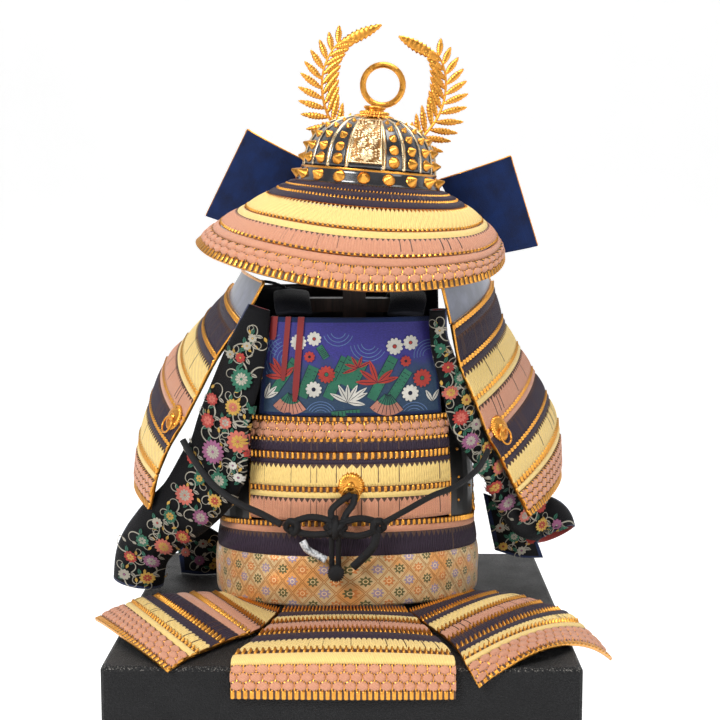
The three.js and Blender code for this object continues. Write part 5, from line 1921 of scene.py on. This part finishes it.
def plate_brocade(name, above, below):
    """Violet-blue cloth that turns to dark navy with a paler weft texture further down."""
    sockets = {"Roughness": 0.6, "Sheen Weight": 0.12, "Specular IOR Level": 0.3}
    material, tree, bsdf = new_material(name, sockets)
    place = position(tree, 1000)
    height = node(tree, "SeparateXYZ", {0: place}).outputs[2]
    patches = noise(tree, place, 0.07, 4)
    threads = noise(tree, node(tree, "Mapping", {0: place, 3: (1, 1, 5)}).outputs[0], 0.6, 3)
    level = calc(tree, "MULTIPLY_ADD", patches, 36.0, height)
    cloth = mix_colour(tree, ramp(tree, level, 0.0, 1.0, 585, 606), below, above)
    teal = mix_colour(tree, ramp(tree, threads, 0.0, 0.8, 0.52, 0.66), cloth, (0.05, 0.12, 0.16))
    cloth = mix_colour(tree, ramp(tree, height, 0.0, 1.0, 590, 572), cloth, teal)
    cloth = mix_colour(tree, ramp(tree, threads, 0.0, 0.5, 0.4, 0.6), cloth, (0.006, 0.008, 0.03))
    tree.links.new(cloth, bsdf.inputs["Base Color"])
    bump(tree, bsdf, threads, 0.0002)
    return material


def build_back_plate():
    """Brocade back plate: navy binding, violet-blue ground and a made-up garden of flowers."""
    look = bpy.context.scene.armour_cloth
    ground = plate_brocade("brocade_blue", tuple(look.blue), (0.008, 0.03, 0.07))
    surface = torso_surface(BACK_ROWS, -BACK_HALF_ANGLE, BACK_HALF_ANGLE)
    moved = offset(surface, -1)
    grid_u, grid_v = np.meshgrid(np.linspace(0, 1, 120), np.linspace(0, 1, 60))
    edge = (grid_u < 0.032) | (grid_u > 0.968) | (grid_v > 0.955) | (grid_v < 0.045)
    ripple = 0.1 * np.sin(grid_u * 40) * (grid_v * 7 % 1)
    front = moved(grid_u, grid_v, np.where(edge, 0.5, 0.0) + ripple)
    back = moved(grid_u, grid_v, np.full(grid_u.shape, -2.8))
    slots = (edge[:-1, :-1].astype(int), 1, 1)
    shape = Shape().wall(front, back, plane(grid_u * 175, grid_v * 90), slots)
    piece = shape.make("back_plate_brocade", [ground, navy_woven()])
    finish_piece(piece, ["back_plate"])
    garden = Motifs(Cloth(surface, -1), 0.15, 0.004)
    plant_garden(garden)
    garden.make("back_plate_garden", cloth_colours(), "back_brocade")


# x, z, radius, petals, colour, heart of the flowers of the garden
GARDEN_FLOWERS = [
    (-42.5, 601, 7.4, 11, WHITE, RED),
    (-28, 604.4, 6.6, 10, WHITE, RED),
    (45.8, 597, 7.8, 11, WHITE, RED),
    (60.5, 600, 6.9, 10, WHITE, RED),
    (-16.7, 572, 8, 13, RED, GREEN),
    (71.3, 567, 8.4, 13, RED, GREEN),
    (-28.4, 558.2, 7.4, 11, WHITE, INK),
    (60.2, 553.7, 7.8, 11, WHITE, INK),
    (-32.2, 588, 5, 9, RED, INK),
    (56, 583.2, 5, 9, RED, INK),
]
# x, z of the pivot, colour, width, then turn and length of each leaf
GARDEN_SPRAYS = [
    (30.2, 564, RED, 5, [(110, 22), (144, 20), (177, 20), (40, 18), (14, 19.5)]),
    (12.4, 578, RED, 3, [(200, 15), (165, 12.6), (121, 12), (72, 11), (26, 13)]),
    (-56.8, 568.6, RED, 5, [(117, 20), (135, 18), (176, 16), (45, 14)]),
    (2.7, 546.5, WHITE, 4.4, [(-8, 16), (25, 20), (37, 22), (60, 18)]),
    (2.7, 546.5, WHITE, 4.4, [(90, 16), (118, 18), (153, 18)]),
    (-74, 549, WHITE, 4, [(25, 14), (45, 16), (70, 15)]),
    (80.9, 545, WHITE, 4, [(60, 12), (120, 12)]),
]
# foot x, z, head x, z and half width of the slanted green bands
GARDEN_BANDS = [
    (-15.6, 550, 1.6, 587.2, 5),
    (0.4, 561.6, 11.9, 585, 10),
    (24.4, 549, 45, 587.2, 4.5),
    (42.7, 550, 58.8, 574.4, 4.2),
    (-66, 554.7, -45.3, 585, 4),
    (-39.6, 551.2, -28.2, 579, 5),
    (-23.6, 597.7, -16.7, 587, 3),
    (-12, 535.5, 14, 537.5, 2.4),
]
# x, z of the pivots of the open fans
GARDEN_FANS = [(-49.4, 557), (39.9, 555.8)]
# x, z, first and last turn, largest radius, arcs of the nested pale wave lines
GARDEN_WAVES = [
    (-52, 585, 110, 215, 24, 6),
    (-58, 604, 150, 250, 16, 4),
    (-22, 532, 30, 150, 15, 5),
    (64, 531, 20, 160, 14, 4),
    (22, 601, 190, 330, 17, 4),
    (-6, 612, 200, 340, 14, 3),
    (78, 588, 80, 190, 14, 4),
]


def plant_garden(garden):
    """Lays bands, fans, leaves, flowers and waves on the back plate."""
    for x, z, first, last, radius, arcs in GARDEN_WAVES:
        turns = np.radians(np.linspace(first, last, 16))
        for k in range(arcs):
            size = radius * (1 - k / (arcs + 1))
            arc = np.stack([x + size * np.cos(turns), z + size * np.sin(turns)], -1)
            garden.strip(arc, 0.35, WAVE, 1)
    for x0, z0, x1, z1, half in GARDEN_BANDS:
        s = np.linspace(0, 1, 9)[:, None]
        points = np.array([x0, z0]) * (1 - s) + np.array([x1, z1]) * s
        garden.strip(points, half + 0.5, INK, 4)
        garden.strip(points, half, GREEN, 4)
        across = np.array([-(z1 - z0), x1 - x0]) / math.hypot(x1 - x0, z1 - z0) * half * 0.8
        for k in range(1, 8):
            garden.strip([points[k] - across, points[k] + across], 0.3, INK, 1)
    for x, z in GARDEN_FANS:
        turns = np.radians(np.linspace(-140, -50, 13))
        for inner, outer, slot in ((3, 12.7, GREEN), (12.7, 22, SALMON)):
            middle, half = (inner + outer) / 2, (outer - inner) / 2
            arc = np.stack([x + middle * np.cos(turns), z + middle * np.sin(turns)], -1)
            garden.strip(arc, half, slot, 3)
        for k in range(9):
            a = math.radians(-140 + 11.25 * k)
            ends = [(x + r * math.cos(a), z + r * math.sin(a)) for r in (3, 12, 21.5)]
            garden.strip(ends, 0.3, INK, 1)
    for x, z, slot, width, leaves in GARDEN_SPRAYS:
        for turn, length in leaves:
            garden.leaf(x, z, turn, length, width, slot, INK)
    for x, z, radius, petals, slot, heart in GARDEN_FLOWERS:
        garden.disc(x, z, radius * 0.8, INK)
        garden.daisy(x, z, radius, petals, (slot, heart), 12, 0.26, 0.74)


# Cords, mounts, ties

# radius of the large black cord, in mm, and the routes of its strands
CORD = 3.2
BOW_LOOPS = {
    "left_upper": [(-6, -51, 437), (-16, -50, 442), (-30, -48, 444), (-42, -47, 441), (-49, -47, 437)],
    "left_lower": [(-6, -52, 431), (-16, -50.5, 429), (-30, -48.5, 428), (-42, -47.5, 430), (-50, -47, 434)],
    "left_lump": [
        *((-48, -44, 429), (-53, -46.5, 434), (-50, -48.5, 440)),
        *((-44, -50, 439), (-43, -49, 432), (-48, -47, 428)),
    ],
    "right_upper": [(-8, -51, 437), (3, -50, 441), (14, -48.5, 443), (25, -47.5, 441), (32, -47, 437)],
    "right_lower": [(-8, -52, 431), (3, -50.5, 428), (14, -49, 427), (25, -48, 430), (33, -47, 434)],
    "right_lump": [
        *((31, -44, 430), (36, -46, 434), (34, -48, 440)),
        *((28, -49.5, 440), (26.5, -49, 433), (31, -47, 429)),
    ],
    "top_left": [(-10, -50, 438), (-12, -46, 449), (-4, -42, 457), (6, -38.5, 463)],
    "top_right": [(-2, -50, 438), (2, -46, 447), (8, -42, 455), (9.5, -38.5, 463)],
}
TAIL_RIGHT = [(30, -46, 432), (27, -48.5, 418), (21, -48, 410), (8, -47, 397)]
TAIL_LEFT = [(-38.5, -48, 421.7), (-34, -48, 414), (-26, -46, 408.5), (-17, -46, 403.5)]
TASSEL = [
    *((3, 0), (5.2, 2, 22, 0.5), (6.3, 5, 22, 0.5), (5.4, 8, 22, 0.4)),
    *((7.2, 14, 22, 1.0), (8.0, 20, 22, 1.4), (6.5, 21.5)),
]
# turn and height of the wraps of the knot
KNOT_WRAPS = ((-35, 4.6), (35, 5.6), (90, 6.6), (0, 3.6))
STEMS = [[(x, -51, 431), (x, -48, 414), (x, -45, 396)] for x in (-11.5, -5.5)]
SIDE_CORDS = {
    "left": [
        *((-57.5, -52, 438), (-75, -46, 446), (-100, -38, 456)),
        *((-124, -27, 472), (-142, -13, 492), (-152, -7, 508)),
    ],
    "right": [
        *((35.9, -50.6, 439.4), (56, -47, 450), (80, -40, 462)),
        *((104, -30, 470), (124, -19, 484), (134, -11, 500)),
    ],
}
SIDE_CORD_RADII = {"left": CORD, "right": CORD - 0.4}
GUARD_TIES = {
    "left": [(-58, 46, 647.3), (-72, 47, 652), (-92.4, 48, 654)],
    "right": [(64, 46, 647.3), (82, 47, 652), (104, 48, 654)],
}


def cord_length(points):
    """Length of a cord's route in metres."""
    return float(run_along(smooth_line(points, 100))[-1]) * MM


def braided(shape, route, radius, count=90, sides=16):
    """Adds a round braided cord along a route."""
    points, faces, cloth = tube(route, radius, sides, count, braid_twist(9, 0.28))
    shape.add(points, faces, 0, cloth)


def clear_cord():
    """Cloudy clear covering of the short left tail."""
    sockets = {"Roughness": 0.18, "Coat Weight": 0.6}
    material, tree, bsdf = new_material("tail_clear", sockets)
    share = ramp(tree, noise(tree, position(tree, 1000), 0.25, 3), 0.0, 1.0, 0.4, 0.6)
    base = mix_colour(tree, share, (0.6, 0.62, 0.64), (0.1, 0.11, 0.12))
    tree.links.new(base, bsdf.inputs["Base Color"])
    return material


def build_cords():
    """The large black bow with its tails and tassel, and the cords that run to the guards."""
    silk_black = silk("silk_black", (0.009, 0.009, 0.011), (0.002, 0.002, 0.002), 0.6, 1.1, 0.02)
    shape = Shape()
    for points in BOW_LOOPS.values():
        braided(shape, points, CORD)
    braided(shape, TAIL_RIGHT, CORD + 0.8)
    for stem in STEMS:
        braided(shape, stem, 2.6, 50)
    for turn, deep in KNOT_WRAPS:
        c, s = math.cos(math.radians(turn)), math.sin(math.radians(turn))
        arch = ((-9, 4), (-6, -deep + 2), (0, -deep), (6, -deep + 2), (9, 4))
        wrap = [(-8 + c * x, -50 + y, 434 + s * x) for x, y in arch]
        braided(shape, wrap, 3.0, 40)
    points, faces = spun((-8.5, -36.4, 391), (0.05, -1, 0.12), TASSEL, 88)
    shape.add(points * MM, faces)
    piece = shape.make("bow_knot_braided", [silk_black])
    finish_piece(piece, ["bow_knot"])
    points, faces, cloth = tube(TAIL_LEFT, CORD + 0.3, 16, 60)
    tail = Shape().add(points, faces, 0, cloth).make("bow_tail_left_clear", [clear_cord()])
    finish_piece(tail, ["bow_tail_left"])
    for hand, points in SIDE_CORDS.items():
        shape, radius = Shape(), SIDE_CORD_RADII[hand]
        braided(shape, points, radius, 120)
        piece = shape.make(f"side_cord_{hand}_braided", [silk_black])
        finish_piece(piece, [f"side_cord_{hand}"])
        run = smooth_line(points, 24) * MM
        cord_length(points)
    for hand, points in GUARD_TIES.items():
        shape = Shape()
        braided(shape, points, 1.6, 40, 12)
        piece = shape.make(f"guard_tie_{hand}_braided", [silk_black])
        finish_piece(piece, [f"guard_tie_{hand}"])


# radius, height, lobes and depth of the petals of a chrysanthemum mount
MOUNT = [
    *((9, -0.4), (12.6, 0, 28, 1.0), (13, 1.2, 28, 1.2), (10, 3.1, 28, 1.0)),
    *((5.0, 3.9, 28, 0.5), (4.2, 3.6), (3.8, 4.8), (2.6, 5.8), (0.4, 6.2)),
]
# share across and down each shoulder guard where its mount lies
MOUNT_PLACES = {"left": (0.09, 0.53), "right": (0.1, 0.52)}


def build_mounts():
    """Three gilt chrysanthemum mounts, each with a hanging ring, and the red ties."""
    spots = {"back": (np.array([5.5, -30.7, 470]), np.array([0.03, -1, 0]))}
    for hand, (u, v) in MOUNT_PLACES.items():
        surface = guard_surface(hand)
        facing = normals(surface, u, v, GUARDS[hand]["side"])
        spots[hand] = (surface(u, v) / MM + facing * 2.2, facing)
    for name, (centre, facing) in spots.items():
        facing = unit(facing)
        points, faces = spun(centre, facing, MOUNT, 168)
        shape = Shape().add(points * MM, faces)
        down = np.array([0, 0, -1.0])
        down = unit(down - facing * np.dot(down, facing))
        across = np.cross(facing, down)
        middle = centre + facing * 5 + down * 8.5
        turns = np.linspace(0, TAU, 33)[:-1]
        loop = middle + 8 * (np.cos(turns)[:, None] * across + np.sin(turns)[:, None] * down)
        loop += facing * (1 - np.sin(turns))[:, None] * 0.3
        points, faces, _ = tube([*loop, loop[0]], 1.0, 8, 64)
        shape.add(points, faces)
        finish_piece(shape.make(f"mount_{name}_petals", [gold()]), [f"mount_{name}"])
    red = silk("silk_red", (0.42, 0.03, 0.02), (0.16, 0.01, 0.01), 0.0, 1.0)
    for name in ("tie_red_short", "tie_red_middle", "tie_red_long"):
        keep(name, red)


def build_chest():
    """The leather-faced chest and its lid, and the wooden stand inside the armour."""
    look = bpy.context.scene.armour_chest
    # The last colour is the pale painted highlight along the lid's top edge.
    hide = leather("chest_leather", tuple(look.leather), look.grain, (0.5, 0.47, 0.42))
    for name in ("chest_body", "chest_lid"):
        keep(name, hide)
    stain = wood("stand_wood", tuple(look.wood), (0.012, 0.005, 0.002))
    for name in NODES:
        if name.startswith("stand_"):
            keep(name, stain)


# Add-on: settings, operators and a panel


def colour_setting(name, description, default):
    """A colour that a user can change."""
    return bpy.props.FloatVectorProperty(
        name=name, description=description, subtype="COLOR", default=default
    )


def number_setting(name, description, default, low, high):
    """A plain number that a user can change, with its limits."""
    return bpy.props.FloatProperty(
        name=name, description=description, default=default, min=low, max=high
    )


def length_setting(name, description, default):
    """A length in metres that a user can change."""
    return bpy.props.FloatProperty(
        name=name, description=description, default=default, unit="LENGTH", subtype="DISTANCE"
    )


class ArmourLacing(bpy.types.PropertyGroup):
    """Colours of the silk lacing."""

    salmon: colour_setting("Salmon", "Colour of the salmon braid", (0.68, 0.33, 0.19))
    yellow: colour_setting("Yellow", "Colour of the yellow braid", (0.88, 0.65, 0.23))
    purple: colour_setting("Purple", "Colour of the purple braid", (0.034, 0.018, 0.038))


class ArmourCloth(bpy.types.PropertyGroup):
    """Colours of the cloths and of the guard caps."""

    navy: colour_setting("Navy", "Binding and wing cloth", (0.004, 0.018, 0.085))
    blue: colour_setting("Blue", "Ground of the back plate", (0.028, 0.022, 0.19))
    ground: colour_setting("Black ground", "Ground of the sleeves", (0.003, 0.003, 0.004))
    sash: colour_setting("Sash", "Gold cloth of the sash", (0.86, 0.62, 0.32))
    red: colour_setting("Red", "Red weft of the flowers", (0.4, 0.045, 0.035))
    green: colour_setting("Green", "Green weft of the leaves", (0.03, 0.15, 0.09))
    cap: colour_setting("Guard cap", "Grey-blue cap plates", (0.12, 0.13, 0.17))


class ArmourMetal(bpy.types.PropertyGroup):
    """Gilt fittings."""

    gilt: colour_setting("Gilt", "Colour of the gilt metal", (0.74, 0.33, 0.055))
    polish: number_setting("Roughness", "Roughness of the gilt metal", 0.26, 0.05, 0.8)


class ArmourChest(bpy.types.PropertyGroup):
    """Chest and stand."""

    leather: colour_setting("Leather", "Colour of the chest's leather", (0.006, 0.006, 0.0065))
    grain: number_setting("Grain in mm", "Size of the pebbles of the leather", 1.5, 0.3, 6)
    wood: colour_setting("Wood", "Colour of the stand", (0.05, 0.018, 0.008))


class ArmourStage(bpy.types.PropertyGroup):
    """Camera, floor and light."""

    lens: number_setting("Lens in mm", "Lens on a 36 mm sensor", 72.85, 20, 200)
    camera_height: length_setting("Camera height", "Height of the camera", 0.745)
    camera_distance: length_setting("Camera distance", "Distance from the middle", 1.351)
    key_power: number_setting("Key light", "Power of the main light in watts", 46.0, 0, 500)
    fill_power: number_setting("Fill light", "Power of the fill light in watts", 14.0, 0, 500)
    top_power: number_setting("Top light", "Power of the light from above in watts", 20.0, 0, 500)
    surround: number_setting("Surround", "Strength of the even light all round", 0.3, 0, 3)
    floor_glow: number_setting("Floor glow", "Own light of the pale floor", 0.45, 0, 3)


# name, place and width of each light, in metres, and the point that they all face
LIGHTS = (
    ("key", (-1.1, -1.6, 1.8), 0.8),
    ("fill", (1.6, -1.5, 1.1), 1.1),
    ("above", (0.3, 0.0, 2.3), 1.0),
)
LIGHT_AIM = Vector((0, 0, 0.45))
# how far the camera stands to the right, in metres, and its yaw and pitch in degrees
CAMERA_ASIDE = 0.025
CAMERA_TURN = (0.47, 6.85)


def aimed(name, data, place, direction):
    """A light or camera at a place, facing a direction."""
    made = bpy.data.objects.new(name, data)
    made.location = place
    made.rotation_euler = direction.to_track_quat("-Z", "Y").to_euler()
    bpy.context.scene.collection.objects.link(made)
    return made


def build_floor(glow):
    """A pale floor that bends up into a pale wall far behind the armour."""
    sockets = {
        "Roughness": 0.9,
        "Specular IOR Level": 0.1,
        "Emission Color": (1, 1, 1, 1),
        "Emission Strength": glow,
    }
    material, tree, bsdf = new_material("floor_pale", sockets)
    spots = noise(tree, position(tree, 1.0), 2.0, 2)
    base = mix_colour(tree, spots, (0.93, 0.93, 0.93), (0.97, 0.97, 0.97))
    tree.links.new(base, bsdf.inputs["Base Color"])
    bend = np.radians(np.linspace(0, 90, 24))
    profile = [(-40, 0), *zip(3 + 3 * np.sin(bend), 3 - 3 * np.cos(bend)), (6, 14)]
    points = [(x, y, z) for y, z in profile for x in (-40, 40)]
    return make_object("floor_and_sweep", points, [grid_faces(len(profile), 2)], [material])


def build_stage():
    """Pale floor and surround, soft lights and the camera at the photo's angle."""
    look = bpy.context.scene.armour_stage
    made = [build_floor(look.floor_glow)]
    powers = (look.key_power, look.fill_power, look.top_power)
    for (name, place, wide), power in zip(LIGHTS, powers):
        data = bpy.data.lights.new(name, "AREA")
        data.shape = "SQUARE"
        data.size = wide
        data.energy = power
        made.append(aimed(name, data, place, LIGHT_AIM - Vector(place)))
    camera_data = bpy.data.cameras.new("camera")
    camera_data.lens = look.lens
    camera_data.sensor_width = 36
    yaw, pitch = map(math.radians, CAMERA_TURN)
    level = math.cos(pitch)
    forward = Vector((-math.sin(yaw) * level, math.cos(yaw) * level, -math.sin(pitch)))
    place = (CAMERA_ASIDE, -look.camera_distance, look.camera_height)
    camera = aimed("camera", camera_data, place, forward)
    bpy.context.scene.camera = camera
    made.append(camera)
    world = bpy.data.worlds.new("studio")
    world.use_nodes = True
    background = world.node_tree.nodes["Background"]
    background.inputs[0].default_value = (1, 1, 1, 1)
    background.inputs[1].default_value = look.surround
    bpy.context.scene.world = world
    bpy.context.scene.view_settings.view_transform = "Standard"


class ARMOUR_OT_chest(bpy.types.Operator):
    """Builds the leather-faced chest, lid and wooden stand."""

    bl_idname = "armour.chest"
    bl_label = "Chest and stand"

    def execute(self, context):
        build_chest()
        return {"FINISHED"}


class ARMOUR_OT_back_plate(bpy.types.Operator):
    """Builds the brocade back plate with its garden."""

    bl_idname = "armour.back_plate"
    bl_label = "Back plate"

    def execute(self, context):
        build_back_plate()
        return {"FINISHED"}


class ARMOUR_OT_body_lacing(bpy.types.Operator):
    """Builds the laced lames of the back, waist and front."""

    bl_idname = "armour.body_lacing"
    bl_label = "Body lames"

    def execute(self, context):
        build_body_lacing()
        return {"FINISHED"}


class ARMOUR_OT_skirts(bpy.types.Operator):
    """Builds the four laced skirts."""

    bl_idname = "armour.skirts"
    bl_label = "Skirts"

    def execute(self, context):
        build_skirts()
        return {"FINISHED"}


class ARMOUR_OT_guards(bpy.types.Operator):
    """Builds the laced shoulder guards."""

    bl_idname = "armour.guards"
    bl_label = "Shoulder guards"

    def execute(self, context):
        build_guards()
        return {"FINISHED"}


class ARMOUR_OT_sides(bpy.types.Operator):
    """Builds the padded straps, side plates and guard caps."""

    bl_idname = "armour.sides"
    bl_label = "Straps, sides, caps"

    def execute(self, context):
        build_sides()
        return {"FINISHED"}


class ARMOUR_OT_sash(bpy.types.Operator):
    """Builds the gold brocade sash."""

    bl_idname = "armour.sash"
    bl_label = "Sash"

    def execute(self, context):
        build_sash()
        return {"FINISHED"}


class ARMOUR_OT_sleeves(bpy.types.Operator):
    """Builds the brocade sleeves and flaps."""

    bl_idname = "armour.sleeves"
    bl_label = "Sleeves"

    def execute(self, context):
        build_sleeves()
        return {"FINISHED"}


class ARMOUR_OT_bowl(bpy.types.Operator):
    """Builds the riveted bowl, brow band, relief plate and finial."""

    bl_idname = "armour.bowl"
    bl_label = "Helmet bowl"

    def execute(self, context):
        build_helmet_bowl()
        return {"FINISHED"}


class ARMOUR_OT_neck_guard(bpy.types.Operator):
    """Builds the laced neck guard."""

    bl_idname = "armour.neck_guard"
    bl_label = "Neck guard"

    def execute(self, context):
        build_neck_guard()
        return {"FINISHED"}


class ARMOUR_OT_wings(bpy.types.Operator):
    """Builds the turned-back wings, peak, crest holder and ring."""

    bl_idname = "armour.wings"
    bl_label = "Wings and peak"

    def execute(self, context):
        build_wings()
        return {"FINISHED"}


class ARMOUR_OT_crest(bpy.types.Operator):
    """Builds the two fern fronds."""

    bl_idname = "armour.crest"
    bl_label = "Fern crest"

    def execute(self, context):
        build_crest()
        return {"FINISHED"}


class ARMOUR_OT_cords(bpy.types.Operator):
    """Builds the bow, tails, tassel and side cords."""

    bl_idname = "armour.cords"
    bl_label = "Cords"

    def execute(self, context):
        build_cords()
        return {"FINISHED"}


class ARMOUR_OT_mounts(bpy.types.Operator):
    """Builds the chrysanthemum mounts and red ties."""

    bl_idname = "armour.mounts"
    bl_label = "Mounts and ties"

    def execute(self, context):
        build_mounts()
        return {"FINISHED"}


class ARMOUR_OT_stage(bpy.types.Operator):
    """Builds the floor, lights and camera."""

    bl_idname = "armour.stage"
    bl_label = "Stage"

    def execute(self, context):
        build_stage()
        return {"FINISHED"}


STEPS = (
    ARMOUR_OT_chest,
    ARMOUR_OT_back_plate,
    ARMOUR_OT_body_lacing,
    ARMOUR_OT_skirts,
    ARMOUR_OT_guards,
    ARMOUR_OT_sides,
    ARMOUR_OT_sash,
    ARMOUR_OT_sleeves,
    ARMOUR_OT_bowl,
    ARMOUR_OT_neck_guard,
    ARMOUR_OT_wings,
    ARMOUR_OT_crest,
    ARMOUR_OT_cords,
    ARMOUR_OT_mounts,
    ARMOUR_OT_stage,
)


class VIEW3D_PT_armour(bpy.types.Panel):
    """Settings and building steps of the armour."""

    bl_label = "Laced armour"
    bl_space_type = "VIEW_3D"
    bl_region_type = "UI"
    bl_category = "Armour"

    def draw(self, context):
        layout = self.layout
        for group in GROUPS:
            box = layout.box()
            settings = getattr(context.scene, group)
            for key in settings.__annotations__:
                box.prop(settings, key)
        for step in STEPS:
            layout.operator(step.bl_idname)


GROUPS = {
    "armour_lacing": ArmourLacing,
    "armour_cloth": ArmourCloth,
    "armour_metal": ArmourMetal,
    "armour_chest": ArmourChest,
    "armour_stage": ArmourStage,
}


def register():
    """Registers settings, steps and panel, and gives the scene its settings."""
    for group in (*GROUPS.values(), *STEPS, VIEW3D_PT_armour):
        bpy.utils.register_class(group)
    for name, group in GROUPS.items():
        setattr(bpy.types.Scene, name, bpy.props.PointerProperty(type=group))


def unregister():
    """Takes away what register added."""
    for name in GROUPS:
        delattr(bpy.types.Scene, name)
    for group in (VIEW3D_PT_armour, *reversed(STEPS), *reversed(GROUPS.values())):
        bpy.utils.unregister_class(group)


def main():
    """Builds the whole set, one step after another."""
    register()
    for step in STEPS:
        run = getattr(bpy.ops.armour, step.bl_idname.split(".")[1])
        if run() != {"FINISHED"}:
            raise RuntimeError(f"{step.bl_label} did not finish")


if __name__ == "__main__":
    main()
